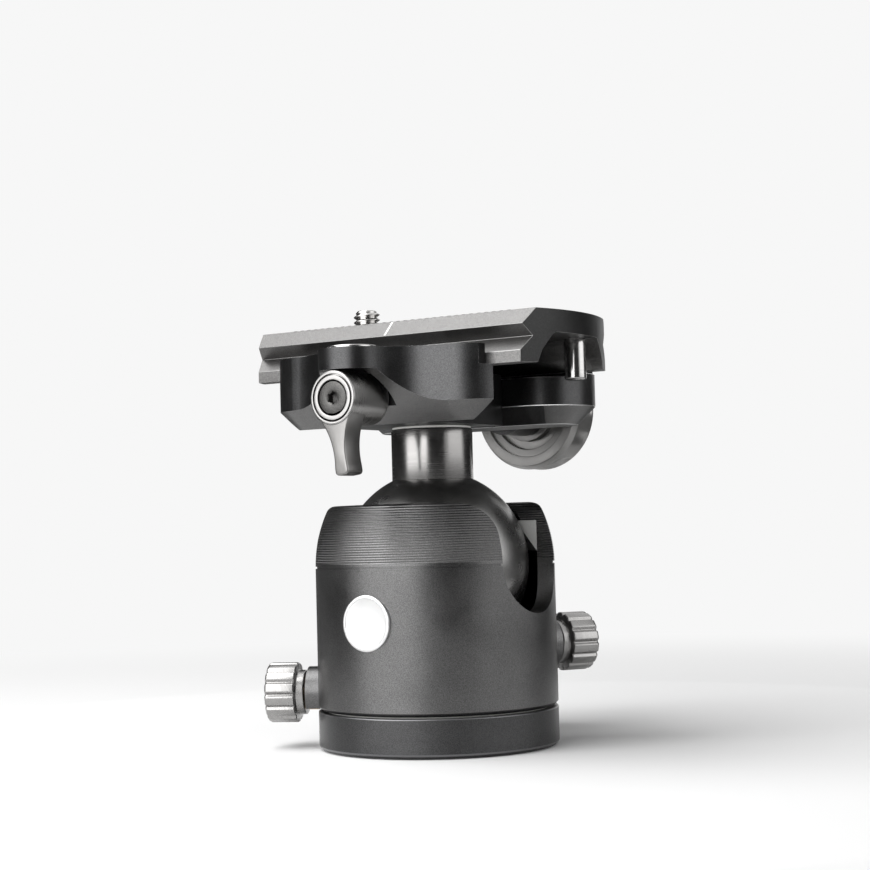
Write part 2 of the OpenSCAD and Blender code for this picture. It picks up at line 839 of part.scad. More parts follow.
module thrust_washer() {
    color([0.85, 0.85, 0.83]) ring(neck_r - seat_gap, spindle_r + run_gap, neck_top, clamp_z);
}

module stem_washer() {
    color([0.6, 0.6, 0.6])
        ring(stem_washer_r, stem_bolt_r + run_gap, spindle_top, spindle_top + stem_washer_t);
}

module stem_bolt() {
    color([0.3, 0.3, 0.3]) difference() {
        union() {
            translate([0, 0, spindle_top - stem_bolt_l + 0.5]) cylinder(r = stem_bolt_r, h = stem_bolt_l + 1);
            translate([0, 0, spindle_top + stem_washer_t])
                cylinder(r = stem_bolt_head_r, h = stem_bolt_head_h);
        }
        translate([0, 0, spindle_top + stem_washer_t + stem_hex_z]) cylinder(r = stem_hex, h = big, $fn = 6);
    }
}

// Clamp body with its fixed jaw, level and fittings

module clamp_body() {
    color([0.13, 0.13, 0.14]) difference() {
        union() {
            intersection() {
                clamp_blank(-near_y, far_y);
                union() {
                    translate([-big, -near_y - 1, 0]) cube([2 * big, jaw_wall + 1, 2 * big]);
                    translate([-middle_x, -near_y, 0])
                        cube([2 * middle_x, near_y + split_y - split_gap, 2 * big]);
                }
            }
            translate([0, 0, clamp_z]) linear_extrude(jaw_z - clamp_z) boss_plan();
        }
        rotate([90, 0, 90]) translate([0, 0, -blend_x - 1]) linear_extrude(2 * blend_x + 2)
            polygon([
                [-near_y + under_chamfer, clamp_z],
                [-near_y + under_chamfer - (boss_z - clamp_z), boss_z],
                [-big, boss_z], [-big, clamp_z - 1], [-near_y + under_chamfer, clamp_z - 1]
            ]);
        rail_space();
        lip_ends();
        intersection() {
            along_y(lever_z) rod(pocket_r, -boss_y - 5, -pocket_y);
            translate([-big, -2 * big, 0]) cube([2 * big, 2 * big, boss_z]);
        }
        along_y(lever_z) rod(shoe_r + run_gap, -pocket_y - 1, 0);
        translate([0, 0, clamp_z - 1]) cylinder(r = spindle_r + run_gap, h = big);
        translate([0, 0, spindle_top - run_gap]) cylinder(r = stem_washer_r + seat_gap, h = big);
        translate([0, -level_y, jaw_z - level_depth]) cylinder(r = level_sleeve_r + fix_gap, h = big);
        for (side = [-1, 1])
            translate([side * guide_x, 0, 0]) along_y(screw_z) rod(guide_r + fix_gap, guide_in, big);
    }
}

module level_bezel() {
    color([0.75, 0.75, 0.76]) translate([0, -level_y, 0]) {
        ring(level_sleeve_r, level_bore_r, jaw_z - level_depth + fix_gap, jaw_z);
        ring(level_r, level_bore_r, jaw_z, jaw_z + level_rim);
    }
}

module level_vial() {
    color([0.7, 0.9, 0.2]) translate([0, -level_y, jaw_z - level_depth + fix_gap])
        cylinder(r = level_bore_r - fix_gap, h = level_depth + level_rim - level_sink);
}

module screw_nut() {
    color([0.6, 0.6, 0.6]) along_y(screw_z)
        sleeve(nut_r, screw_r + run_gap, split_y - split_gap, nut_end);
}

module guide_pins() {
    color([0.7, 0.7, 0.7]) for (side = [-1, 1])
        translate([side * guide_x, 0, 0]) along_y(screw_z) rod(guide_r, guide_in + 0.1, guide_out);
}

module jaw_springs() {
    color([0.6, 0.6, 0.6]) for (side = [-1, 1])
        translate([side * guide_x, 0, 0]) along_y(screw_z)
            sleeve(spring_r, spring_r - spring_wall, split_y - split_gap, split_y - split_gap + spring_l);
}

// Pan lever, its bolt and the shoe on the spindle

module lever_washer() {
    color([0.6, 0.6, 0.6]) along_y(lever_z)
        sleeve(lever_r - lever_washer_in, bolt_r + run_gap, -lever_back, -pocket_y);
}

// The lever's arm in plan, with its axis at the origin: hollow flanks and a blunt tip
module arm_plan() {
    half = [
        [arm_top, -2], [arm_top, -arm_waist_z - 1.3], [arm_tip_w, -arm_waist_z - 1.3],
        [arm_tip_w, 1.2 - lever_l], [arm_tip_w - 0.25, 0.4 - lever_l], [arm_tip_w - 0.85, -lever_l]
    ];
    last = len(half) - 1;
    difference() {
        polygon(concat(half, [for (i = [last : -1 : 0]) [-half[i][0], half[i][1]]]));
        for (side = [-1, 1])
            translate([side * (arm_waist + arm_flank_r), -arm_waist_z]) circle(r = arm_flank_r);
    }
}

module pan_lever() {
    color([0.66, 0.65, 0.64]) difference() {
        union() {
            along_y(lever_z) rod(lever_r, -lever_y, -lever_back);
            translate([0, -lever_y + lever_t, lever_z]) rotate([90, -lever_swing, 0])
                linear_extrude(lever_t - arm_step) arm_plan();
        }
        along_y(lever_z) rod(bolt_r + fix_gap, -lever_y - 1, -lever_back + 1);
        along_y(lever_z) rod(bolt_head_r + fix_gap, -lever_y - 1, -lever_y + bolt_head_h);
    }
}

module lever_bolt() {
    color([0.45, 0.45, 0.45]) along_y(lever_z) difference() {
        union() {
            rod(bolt_head_r, -lever_y + bolt_sink, -lever_y + bolt_head_h);
            rod(bolt_r, -lever_y + bolt_head_h - 0.5, -bolt_end);
        }
        rod(bolt_hex, -lever_y - 1, -lever_y + bolt_hex_h, $fn = 6);
    }
}

module pan_shoe() {
    color([0.7, 0.6, 0.4]) difference() {
        along_y(lever_z) rod(shoe_r, -shoe_end, 0);
        translate([0, 0, clamp_z]) cylinder(r = shoe_start, h = big);
        along_y(lever_z) rod(bolt_r + run_gap, -shoe_end - 1, -bolt_end + 1);
    }
}

// Moving jaw, its screw and knob

module far_jaw() {
    color([0.13, 0.13, 0.14]) difference() {
        clamp_blank(split_y, far_y);
        rail_space();
        lip_ends();
        translate([-big, 0, floor_z]) cube([2 * big, channel_bottom - ledge_past, big]);
        along_y(screw_z) rod(nut_r + seat_gap, split_y - 1, nut_end + seat_gap);
        along_y(screw_z) rod(screw_r + run_gap, split_y - 1, far_y + 1);
        for (side = [-1, 1])
            translate([side * guide_x, 0, 0]) along_y(screw_z) {
                rod(guide_r + run_gap, split_y - 1, guide_out + seat_gap);
                rod(spring_r + seat_gap, split_y - 1, split_y - split_gap + spring_l + fix_gap);
            }
    }
}

module thrust_sleeve() {
    color([0.2, 0.2, 0.2]) along_y(screw_z) sleeve(sleeve_r, screw_r + run_gap, far_y, knob_y);
}

module clamp_screw() {
    color([0.65, 0.65, 0.65]) along_y(screw_z) rod(screw_r, screw_start, knob_front - knob_crown);
}

module clamp_knob() {
    color([0.75, 0.75, 0.75]) along_y(screw_z) difference() {
        union() {
            translate([knob_y, 0, 0]) rotate([0, 90, 0])
                cylinder(r1 = knob_r - knob_edge / 2, r2 = knob_r, h = knob_edge);
            rod(knob_r, knob_y + knob_edge - eps, knob_front - knob_edge + eps);
            translate([knob_front - knob_edge, 0, 0]) rotate([0, 90, 0])
                cylinder(r1 = knob_r, r2 = knob_r - knob_edge, h = knob_edge);
        }
        sleeve(knob_r - knob_rim_w, sleeve_r + knob_hub_w, knob_y - 1, knob_y + knob_step_d);
        sleeve(knob_r - knob_step_w, sleeve_r + knob_hub_w, knob_y - 1, knob_y + knob_hollow_d);
        rod(screw_r + fix_gap, knob_y - 1, knob_front - knob_crown + fix_gap);
        rod(knob_cap_r + fix_gap, knob_front - cap_sink, knob_front + 1);
        for (i = [0 : knob_scallops - 1])
            rotate([i * 360 / knob_scallops, 0, 0])
                translate([0, knob_r + knob_scallop_r - knob_scallop_d, 0])
                    rod(knob_scallop_r, knob_y + 1.5 * knob_edge, knob_front - 1.5 * knob_edge, $fn = 48);
    }
}

module knob_cap() {
    color([0.3, 0.3, 0.31]) along_y(screw_z)
        rod(knob_cap_r, knob_front - cap_sink + fix_gap, knob_front - 5 * fix_gap);
}

// Camera plate and its screw

// Half of the plate's section, from the channel round to the flange
plate_half = [
    [channel_top, deck_z], [channel_top + 1.5, deck_z - 1.1], [channel_bottom - 1.3, seat_z + 2.9],
    [channel_bottom, seat_z], [rail_y, seat_z], [rail_y, edge_z], [rail_y - groove_y, groove_z],
    [flange_y, flange_z]
];
// The whole section: a wide chamfer along the near edge and a small one along the far edge
plate_section = concat(
    plate_half,
    [
        [flange_y, plate_top - far_edge], [flange_y - far_edge, plate_top],
        [top_rise - flange_y, plate_top]
    ],
    [for (i = [len(plate_half) - 1 : -1 : 0]) [-plate_half[i][0], plate_half[i][1]]]
);

module camera_plate() {
    color([0.15, 0.15, 0.16]) difference() {
        intersection() {
            rotate([90, 0, 90]) translate([0, 0, -big]) linear_extrude(2 * big) polygon(plate_section);
            translate([-plate_end_r + plate_x, 0, seat_z - 1]) cylinder(r = plate_end_r, h = big, $fn = 240);
            translate([plate_end_r - plate_x, 0, seat_z - 1]) cylinder(r = plate_end_r, h = big, $fn = 240);
        }
        for (side = [-1, 1])
            translate([side * camera_x, 0, deck_z - 1]) cylinder(r = slot_r, h = deck_t + 2);
        translate([-camera_x, -slot_r, deck_z - 1]) cube([2 * camera_x, 2 * slot_r, deck_t + 2]);
        for (side = [-1, 1]) {
            translate([side * pin_x, side * pin_y, seat_z - 1]) {
                cylinder(r = pin_peg_r + fix_gap, h = deck_z - seat_z + pin_peg_l + 1.2);
                cylinder(r = pin_r + fix_gap, h = deck_z - seat_z + 1);
            }
            translate([-pad_x, side * pad_y - pad_w / 2, plate_top - pad_t + pad_proud])
                cube([2 * pad_x, pad_w, 2]);
        }
    }
}

module grip_pads() {
    color([0.06, 0.06, 0.06]) for (side = [-1, 1])
        translate([-pad_x + fix_gap, side * pad_y - pad_w / 2 + fix_gap, plate_top - pad_t + pad_proud])
            cube([2 * pad_x - 2 * fix_gap, pad_w - 2 * fix_gap, pad_t]);
}

module stop_pins() {
    color([0.85, 0.85, 0.86]) for (side = [-1, 1])
        translate([side * pin_x, side * pin_y, deck_z]) {
            translate([0, 0, -pin_l]) cylinder(r1 = pin_r - pin_edge, r2 = pin_r, h = pin_edge);
            translate([0, 0, -pin_l + pin_edge]) cylinder(r = pin_r, h = pin_l - pin_edge);
            translate([0, 0, -eps]) cylinder(r = pin_peg_r, h = pin_peg_l);
        }
}

module screw_slider() {
    color([0.85, 0.85, 0.83]) translate([-camera_x, 0, 0]) {
        ring(head_r - slider_in, camera_neck_r + run_gap, deck_z - slider_t, deck_z);
        ring(slot_r - run_gap, camera_neck_r + run_gap, deck_z - eps, deck_z + slider_l);
    }
}

module camera_screw() {
    color([0.8, 0.8, 0.8]) translate([-camera_x, 0, 0]) difference() {
        union() {
            translate([0, 0, head_z]) cylinder(r = head_r, h = head_t);
            translate([0, 0, head_z]) cylinder(r = camera_neck_r, h = camera_thread_z - head_z + eps);
            translate([0, 0, camera_thread_z])
                cylinder(r = camera_r, h = camera_top - camera_tip - camera_thread_z);
            translate([0, 0, camera_top - camera_tip])
                cylinder(r1 = camera_r, r2 = camera_r - camera_tip, h = camera_tip);
            for (side = [-1, 1])
                translate([0, side * ring_ear_x, head_z - ring_ear[2] / 4]) cube(ring_ear, center = true);
        }
        translate([0, 0, ring_z]) rotate([90, 0, 0])
            translate([0, 0, -big]) cylinder(r = ring_wire_r + run_gap, h = 2 * big, $fn = 48);
    }
}

module d_ring() {
    color([0.8, 0.8, 0.8]) translate([-camera_x, 0, ring_z]) {
        intersection() {
            rotate_extrude() translate([ring_mid_r, 0]) circle(r = ring_wire_r, $fn = 48);
            translate([0, -big, -big]) cube([big, 2 * big, 2 * big]);
        }
        for (side = [-1, 1])
            translate([0, side * ring_mid_r, 0]) {
                rotate([side * 90, 0, 0])
                    cylinder(r = ring_wire_r, h = ring_mid_r - ring_ear_x + 0.6, $fn = 48);
                sphere(r = ring_wire_r, $fn = 48);
            }
    }
}

base_disc();
thread_insert();
base_screws();
pan_retainer();
pan_washer();
housing();
seat_ring();
badge_disc();
cup_spring();
lower_cup();
main_bushing();
main_plunger();
main_shaft();
main_knob();
main_grip();
main_cap();
drag_bushing();
drag_plunger();
drag_shaft();
drag_knob();
pan_bushing();
pan_plunger();
pan_shaft();
pan_knob();
ball();
neck_stem();
thrust_washer();
stem_washer();
stem_bolt();
clamp_body();
level_bezel();
level_vial();
screw_nut();
guide_pins();
jaw_springs();
lever_washer();
pan_lever();
lever_bolt();
pan_shoe();
far_jaw();
thrust_sleeve();
clamp_screw();
clamp_knob();
knob_cap();
camera_plate();
grip_pads();
stop_pins();
screw_slider();
camera_screw();
d_ring();
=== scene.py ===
"""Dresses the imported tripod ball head: its finishes, its fine shapes, the floor, the lamps and the camera.

Lengths are written in millimetres and turned into metres where a mesh is made. The frame's origin is the centre
of the tripod face, +Z is up, the camera plate runs along X, the pan lever is on -Y and the clamp knob on +Y.
"""

import logging
import math
from dataclasses import dataclass, field
from enum import Enum

import bmesh
import bpy
import numpy as np
from mathutils import Matrix, Vector

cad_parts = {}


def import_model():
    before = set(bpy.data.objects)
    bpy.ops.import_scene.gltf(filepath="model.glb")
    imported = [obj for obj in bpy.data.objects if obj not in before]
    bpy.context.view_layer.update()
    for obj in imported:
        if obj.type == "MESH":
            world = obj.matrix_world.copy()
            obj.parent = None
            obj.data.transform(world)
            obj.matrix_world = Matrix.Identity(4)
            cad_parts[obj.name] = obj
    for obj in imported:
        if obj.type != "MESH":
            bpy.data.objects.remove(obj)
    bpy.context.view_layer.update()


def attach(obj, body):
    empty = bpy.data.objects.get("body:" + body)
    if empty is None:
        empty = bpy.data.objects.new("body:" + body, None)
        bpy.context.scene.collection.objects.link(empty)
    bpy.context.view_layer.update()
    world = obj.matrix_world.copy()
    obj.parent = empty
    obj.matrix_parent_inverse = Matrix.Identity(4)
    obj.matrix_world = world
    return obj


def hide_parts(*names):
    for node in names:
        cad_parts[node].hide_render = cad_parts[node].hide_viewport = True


MM = 0.001
TAU = 2 * math.pi
LOG = logging.getLogger("ball_head")

Point = tuple[float, float, float]
Box = tuple[float, float, float, float]  # low X, high X, low Y, high Y
Socket = bpy.types.NodeSocket
Piece = bpy.types.Object

CLOUD_SHARE = 0.2  # the part of a finish's tint that its clouds take
ROUGH_SPREAD = 0.08  # how far its clouds spread its roughness
STREAK_SPREAD = 0.1  # how far a tool's streaks spread it
GRAIN_HEIGHT = 0.00004  # what a grain or streak of full height stands for, in metres
RING_HEIGHT = 0.00016  # the same for a turned ring
NOISE_SPAN = (0.3, 0.7)  # the part of a noise's range that a mask spreads from 0 to 1
DOUBLES = 2e-7  # points nearer than this are one, in metres
CAD_DOUBLES = 2e-6  # the same on a mesh that comes from the CAD
SHARP_ANGLE = 32.0  # an edge past this is shown sharp, in degrees
EASE_ANGLE = 28.0  # an edge past this is eased, in degrees
EASE_SEGMENTS = 2
FLAT_ANGLE = 0.8  # faces that meet at less than this are one, in degrees
SEAM_REACH = 1.2  # how far apart the points of a short step may lie, in millimetres
CHAMFER_FALL = (-0.9, -0.3)  # the rise of a normal on a jaw's lower chamfers, which take a painted light


class Body(str, Enum):
    """The bodies that the pieces made here ride on."""

    BASE = "base"
    HOUSING = "housing"
    MAIN_KNOB = "main_knob"
    DRAG_KNOB = "drag_knob"
    PAN_KNOB = "pan_knob"
    BALL = "ball"
    CLAMP = "clamp"
    LEVER = "pan_lever"
    JAW = "far_jaw"
    KNOB = "clamp_knob"
    PLATE = "camera_plate"
    CAMERA_SCREW = "camera_screw"
    RING = "d_ring"


class Slot(str, Enum):
    """The record's material slots that the pieces made here belong to."""

    BLACK = "black_anodised"
    PLATE = "plate_anodised"
    HARD = "hard_anodised"
    TITAN = "titan_anodised"
    SATIN = "satin_steel"
    STEEL = "steel"
    DARK_STEEL = "black_steel"
    POLISHED = "polished_metal"
    RUBBER = "black_rubber"
    VIAL = "vial"


# ---------------------------------------------------------------------------------------------- shader groups


def preset(node: bpy.types.Node, values: dict[str, object]) -> None:
    """Sets a node's inputs to constants, by their names."""
    for key, value in values.items():
        node.inputs[key].default_value = value


class Graph:
    """A small builder of node graphs: each call adds a node and returns the socket that it puts out."""

    def __init__(self, tree: bpy.types.NodeTree) -> None:
        """Keeps the tree that nodes are added to."""
        self.tree = tree

    def add(self, kind: str, **settings: object) -> bpy.types.Node:
        """Adds a node and sets its plain properties.

        Args:
            kind: the node's type.
            settings: its plain properties.

        Returns:
            The node.
        """
        node = self.tree.nodes.new(kind)
        for key, value in settings.items():
            setattr(node, key, value)
        return node

    def feed(self, socket: Socket, value: object) -> None:
        """Gives a socket a constant, or links another socket to it.

        Args:
            socket: the input.
            value: a constant, or the output to link to it.
        """
        if isinstance(value, Socket):
            self.tree.links.new(value, socket)
        else:
            socket.default_value = value

    def math(self, operation: str, *values: object, clamp: bool = False) -> Socket:
        """A Math node over up to three values.

        Args:
            operation: what it works out.
            values: constants or sockets.
            clamp: whether the result is kept within 0 to 1.

        Returns:
            The result.
        """
        node = self.add("ShaderNodeMath", operation=operation, use_clamp=clamp)
        for socket, value in zip(node.inputs, values):
            self.feed(socket, value)
        return node.outputs[0]

    def spread(self, value: Socket, amount: float, middle: float) -> Socket:
        """A value from 0 to 1, spread over an amount about a middle."""
        return self.math("MULTIPLY_ADD", value, amount, middle - amount / 2)

    def noise(self, vector: object, scale: object, detail: float = 2.0, rough: float = 0.5) -> Socket:
        """A noise texture's value over a vector.

        Args:
            vector: the place that it reads.
            scale: its features per metre.
            detail: how many finer layers it has.
            rough: how strong each finer layer is.

        Returns:
            The value, from 0 to 1.
        """
        node = self.add("ShaderNodeTexNoise")
        self.feed(node.inputs["Vector"], vector)
        self.feed(node.inputs["Scale"], scale)
        node.inputs["Detail"].default_value = detail
        node.inputs["Roughness"].default_value = rough
        return node.outputs["Fac"]

    def ramp(self, value: object, low: float, high: float, out_low: object, out_high: object) -> Socket:
        """A smooth step of a value from one range to another.

        Args:
            value: the value.
            low: where the step starts.
            high: where it ends.
            out_low: the result up to the start.
            out_high: the result from the end on.

        Returns:
            The result.
        """
        node = self.add("ShaderNodeMapRange", interpolation_type="SMOOTHSTEP")
        items = {"Value": value, "From Min": low, "From Max": high, "To Min": out_low, "To Max": out_high}
        for key, item in items.items():
            self.feed(node.inputs[key], item)
        return node.outputs[0]

    def mask(self, noise: Socket) -> Socket:
        """A noise spread over 0 to 1."""
        return self.ramp(noise, *NOISE_SPAN, 0.0, 1.0)

    def place(self) -> Socket:
        """Object coordinates."""
        return self.add("ShaderNodeTexCoord").outputs["Object"]

    def mix(self, share: object, first: Socket, second: Socket) -> Socket:
        """A shader between two others.

        Args:
            share: the second's share.
            first: a shader.
            second: another.

        Returns:
            The mixed shader.
        """
        node = self.add("ShaderNodeMixShader")
        for socket, value in zip(node.inputs, (share, first, second)):
            self.feed(socket, value)
        return node.outputs[0]

    def bump(self, strength: object, distance: float, height: Socket, normal: Socket | None = None) -> Socket:
        """A normal bent by a height, over another normal if one is given.

        Args:
            strength: how much of the bend shows.
            distance: what a height of 1 stands for, in metres.
            height: the height, from 0 to 1.
            normal: the normal below it.

        Returns:
            The bent normal.
        """
        node = self.add("ShaderNodeBump")
        self.feed(node.inputs["Strength"], strength)
        self.feed(node.inputs["Distance"], distance)
        self.feed(node.inputs["Height"], height)
        if normal is not None:
            self.feed(node.inputs["Normal"], normal)
        return node.outputs[0]


def new_group(name: str, inputs: dict[str, float], outputs: dict[str, str]) -> tuple[Graph, object, object]:
    """Starts a shader node group.

    Args:
        name: the group's name.
        inputs: float inputs and their defaults.
        outputs: output names and their socket types.

    Returns:
        A builder over the group, the sockets that give its inputs and the sockets that take its outputs.
    """
    group = bpy.data.node_groups.new(name, "ShaderNodeTree")
    for key, value in inputs.items():
        socket = group.interface.new_socket(name=key, in_out="INPUT", socket_type="NodeSocketFloat")
        socket.default_value = value
    for key, kind in outputs.items():
        group.interface.new_socket(name=key, in_out="OUTPUT", socket_type=kind)
    g = Graph(group)
    return g, g.add("NodeGroupInput").outputs, g.add("NodeGroupOutput").inputs


def grain_group() -> bpy.types.NodeTree:
    """Fine bead-blasted grain: a normal, a mask from 0 to 1 of the grain, and slow cloudy variation.

    Returns:
        The group.
    """
    g, given, out = new_group(
        "BlastGrain",
        {"Grain per metre": 9000.0, "Depth": 0.15, "Cloud per metre": 90.0},
        {"Normal": "NodeSocketVector", "Grain": "NodeSocketFloat", "Cloud": "NodeSocketFloat"},
    )
    fine = g.noise(g.place(), given["Grain per metre"], 1.0, 0.6)
    cloud = g.noise(g.place(), given["Cloud per metre"], 3.0, 0.55)
    g.feed(out["Normal"], g.bump(given["Depth"], GRAIN_HEIGHT, fine))
    g.feed(out["Grain"], g.mask(fine))
    g.feed(out["Cloud"], g.mask(cloud))
    return g.tree


def rings_group() -> bpy.types.NodeTree:
    """Turned rings at even heights between two levels: a height from 0 to 1.

    Returns:
        The group.
    """
    g, given, out = new_group(
        "TurnedRings", {"Pitch": 0.00056, "From": 0.0, "To": 0.01}, {"Height": "NodeSocketFloat"},
    )
    split = g.add("ShaderNodeSeparateXYZ")
    g.feed(split.inputs[0], g.place())
    level = split.outputs["Z"]
    turns = g.math("DIVIDE", g.math("SUBTRACT", level, given["From"]), given["Pitch"])
    wave = g.math("COSINE", g.math("MULTIPLY", turns, TAU))
    band = g.math("MULTIPLY", g.math("GREATER_THAN", level, given["From"]), g.math("LESS_THAN", level, given["To"]))
    g.feed(out["Height"], g.math("MULTIPLY", band, g.math("MULTIPLY_ADD", wave, 0.5, 0.5)))
    return g.tree


def brush_group() -> bpy.types.NodeTree:
    """Machining marks: noise drawn out along one axis, as a normal and a mask of its streaks.

    Returns:
        The group.
    """
    g, given, out = new_group(
        "MachiningMarks",
        {"Depth": 0.1, "Along X": 60.0, "Along Y": 4000.0, "Along Z": 4000.0},
        {"Normal": "NodeSocketVector", "Streak": "NodeSocketFloat"},
    )
    join = g.add("ShaderNodeCombineXYZ")
    for axis in "XYZ":
        g.feed(join.inputs[axis], given[f"Along {axis}"])
    scaled = g.add("ShaderNodeVectorMath", operation="MULTIPLY")
    g.feed(scaled.inputs[0], g.place())
    g.feed(scaled.inputs[1], join.outputs[0])
    streak = g.noise(scaled.outputs[0], 1.0, 2.0, 0.6)
    g.feed(out["Normal"], g.bump(given["Depth"], GRAIN_HEIGHT, streak))
    g.feed(out["Streak"], g.mask(streak))
    return g.tree


class Groups:
    """The shared node groups, each built once."""

    made: dict[str, bpy.types.NodeTree] = {}
    makers = {"grain": grain_group, "rings": rings_group, "brush": brush_group}

    @classmethod
    def use(cls, g: Graph, name: str, values: dict[str, object]) -> bpy.types.NodeOutputs:
        """Adds a shared group to a graph.

        Args:
            g: the graph.
            name: the group's key.
            values: its inputs' values.

        Returns:
            The outputs of the new node.
        """
        if name not in cls.made:
            cls.made[name] = cls.makers[name]()
        node = g.add("ShaderNodeGroup", node_tree=cls.made[name])
        preset(node, values)
        return node.outputs


def grey(level: float) -> tuple[float, float, float, float]:
    """A grey as a colour socket takes it."""
    return (level, level, level, 1)


def paint(name: str) -> tuple[bpy.types.Material, Graph, bpy.types.Node]:
    """Starts a material.

    Args:
        name: the material's name.

    Returns:
        The material, a builder over its nodes, and its shader.
    """
    made = bpy.data.materials.new(name)
    made.use_nodes = True
    return made, Graph(made.node_tree), made.node_tree.nodes["Principled BSDF"]


# ---------------------------------------------------------------------------------------------------- finishes


class Marks(Enum):
    """The way a tool's marks run over a finish."""

    NONE = "none"
    ROUND_Z = "round_z"
    ROUND_Y = "round_y"


STREAK_SCALES = {
    Marks.ROUND_Z: (15.0, 15.0, 5200.0),
    Marks.ROUND_Y: (15.0, 5200.0, 15.0),
}


@dataclass(frozen=True)
class Finish:
    """A metal, polymer or rubber finish.

    Attributes:
        name: the material's name.
        color: base colour, linear.
        metallic: 1 for bare metal, lower for a dyed anodised skin.
        roughness: mean roughness.
        grain: depth of the blasted grain.
        grain_scale: grains per metre.
        tint: how far the grain and the clouds lighten or darken the colour.
        marks: how the tool's marks run.
        mark_depth: their depth.
    """

    name: str
    color: Point
    metallic: float = 1.0
    roughness: float = 0.35
    grain: float = 0.0
    grain_scale: float = 9000.0
    tint: float = 0.12
    marks: Marks = Marks.NONE
    mark_depth: float = 0.1

    def build(self) -> bpy.types.Material:
        """Builds the material once.

        Returns:
            The material, also at each later call.
        """
        made = bpy.data.materials.get(self.name)
        if made is not None:
            return made
        made, g, shader = paint(self.name)
        preset(shader, {"Metallic": self.metallic})
        grain = Groups.use(g, "grain", {"Depth": self.grain, "Grain per metre": self.grain_scale})
        clouds = g.spread(grain["Cloud"], self.tint * CLOUD_SHARE, 1.0)
        speckle = g.spread(grain["Grain"], self.tint, 1.0)
        rough = g.spread(grain["Cloud"], ROUGH_SPREAD, self.roughness)
        normal = grain["Normal"]
        if self.marks is not Marks.NONE:
            scales = {f"Along {axis}": value for axis, value in zip("XYZ", STREAK_SCALES[self.marks])}
            brush = Groups.use(g, "brush", {"Depth": self.mark_depth, **scales})
            rough = g.math("ADD", rough, g.spread(brush["Streak"], STREAK_SPREAD, 0.0))
            normal = brush["Normal"]
        hue = g.add("ShaderNodeVectorMath", operation="SCALE")
        hue.inputs[0].default_value = self.color
        g.feed(hue.inputs["Scale"], g.math("MULTIPLY", clouds, speckle))
        g.feed(shader.inputs["Base Color"], hue.outputs[0])
        g.feed(shader.inputs["Roughness"], rough)
        g.feed(shader.inputs["Normal"], self.relief(g, normal))
        return made

    def relief(self, g: Graph, normal: Socket) -> Socket:
        """The normal after any relief that this finish adds: none on a plain one."""
        return normal


@dataclass(frozen=True)
class RingedFinish(Finish):
    """A blasted finish with fine turned rings between two heights."""

    pitch: float = 0.56
    ring_from: float = 42.9
    ring_to: float = 56.0
    ring_depth: float = 0.9

    def relief(self, g: Graph, normal: Socket) -> Socket:
        """The rings as a bump over the blasted normal."""
        sizes = {"Pitch": self.pitch * MM, "From": self.ring_from * MM, "To": self.ring_to * MM}
        return g.bump(self.ring_depth, RING_HEIGHT, Groups.use(g, "rings", sizes)["Height"], normal)


BLACK_BLAST = Finish("black_blast", (0.068, 0.068, 0.069), 1.0, 0.35, 0.45, 5600.0, 0.50)
# lighter than black_blast: painted light on the jaws' lower chamfers, standing in for light reflected from below; its
# streaks are tool marks
PAINTED_LIGHT_CHAMFER = Finish("clamp_chamfer_painted_light", (0.150, 0.149, 0.148), 1.0, 0.36, 0.3, 5600.0, 0.35, Marks.ROUND_Z, 0.05)
HOUSING_BLAST = RingedFinish("housing_blast", (0.130, 0.129, 0.129), 1.0, 0.34, 0.45, 5600.0, 0.50)
PLATE_BLAST = Finish("plate_blast", (0.135, 0.133, 0.131), 1.0, 0.36, 0.6, 5600.0, 0.60)
# darker than plate_blast: a painted shade on the plate's upright end faces
PLATE_END_PAINTED_SHADE = Finish("plate_end_painted_shade", (0.040, 0.040, 0.040), 1.0, 0.42, 0.5, 5600.0, 0.40)
# lighter than plate_blast: a painted highlight along the plate's eased edges
PAINTED_PLATE_EDGE_HIGHLIGHT = Finish("painted_plate_edge_highlight", (0.26, 0.258, 0.255), 1.0, 0.30, 0.1, 9000.0, 0.1)
# lighter than the blasted faces it edges: a soft painted highlight along the base's and the housing's eased edges
PAINTED_SOFT_EDGE_HIGHLIGHT = Finish("painted_soft_edge_highlight", (0.16, 0.16, 0.165), 0.9, 0.3, 0.1, 9000.0, 0.1)
BALL_SATIN = Finish("ball_satin", (0.26, 0.257, 0.254), 1.0, 0.30, 0.12, 7000.0, 0.20)
NECK_STEEL = Finish("neck_steel", (0.245, 0.24, 0.236), 1.0, 0.21, 0.0, 9000.0, 0.08, Marks.ROUND_Z, 0.02)
TITAN = Finish("titan", (0.25, 0.245, 0.24), 1.0, 0.34, 0.12, 9000.0, 0.12)
TITAN_TURNED = Finish("titan_turned", (0.33, 0.325, 0.32), 1.0, 0.30, 0.05, 9000.0, 0.1, Marks.ROUND_Y, 0.03)
BOLT_GREY = Finish("bolt_grey", (0.105, 0.103, 0.10), 1.0, 0.46, 1.0, 5200.0, 0.8)
POLISHED = Finish("polished", (0.46, 0.455, 0.45), 1.0, 0.20, 0.0, 9000.0, 0.08, Marks.ROUND_Z, 0.02)
STEEL = Finish("steel_turned", (0.50, 0.50, 0.50), 1.0, 0.28, 0.0, 9000.0, 0.1, Marks.ROUND_Z, 0.08)
DARK_STEEL = Finish("steel_phosphated", (0.09, 0.09, 0.09), 0.9, 0.45, 0.3, 9000.0, 0.25)
BRASS = Finish("brass_turned", (0.60, 0.42, 0.20), 1.0, 0.30, 0.0, 9000.0, 0.1)
WHITE_POLYMER = Finish("polymer_white", (0.72, 0.72, 0.69), 0.0, 0.5, 0.05, 5000.0, 0.06)
GREY_POLYMER = Finish("polymer_grey", (0.40, 0.40, 0.39), 0.0, 0.42, 0.05, 5000.0, 0.1)
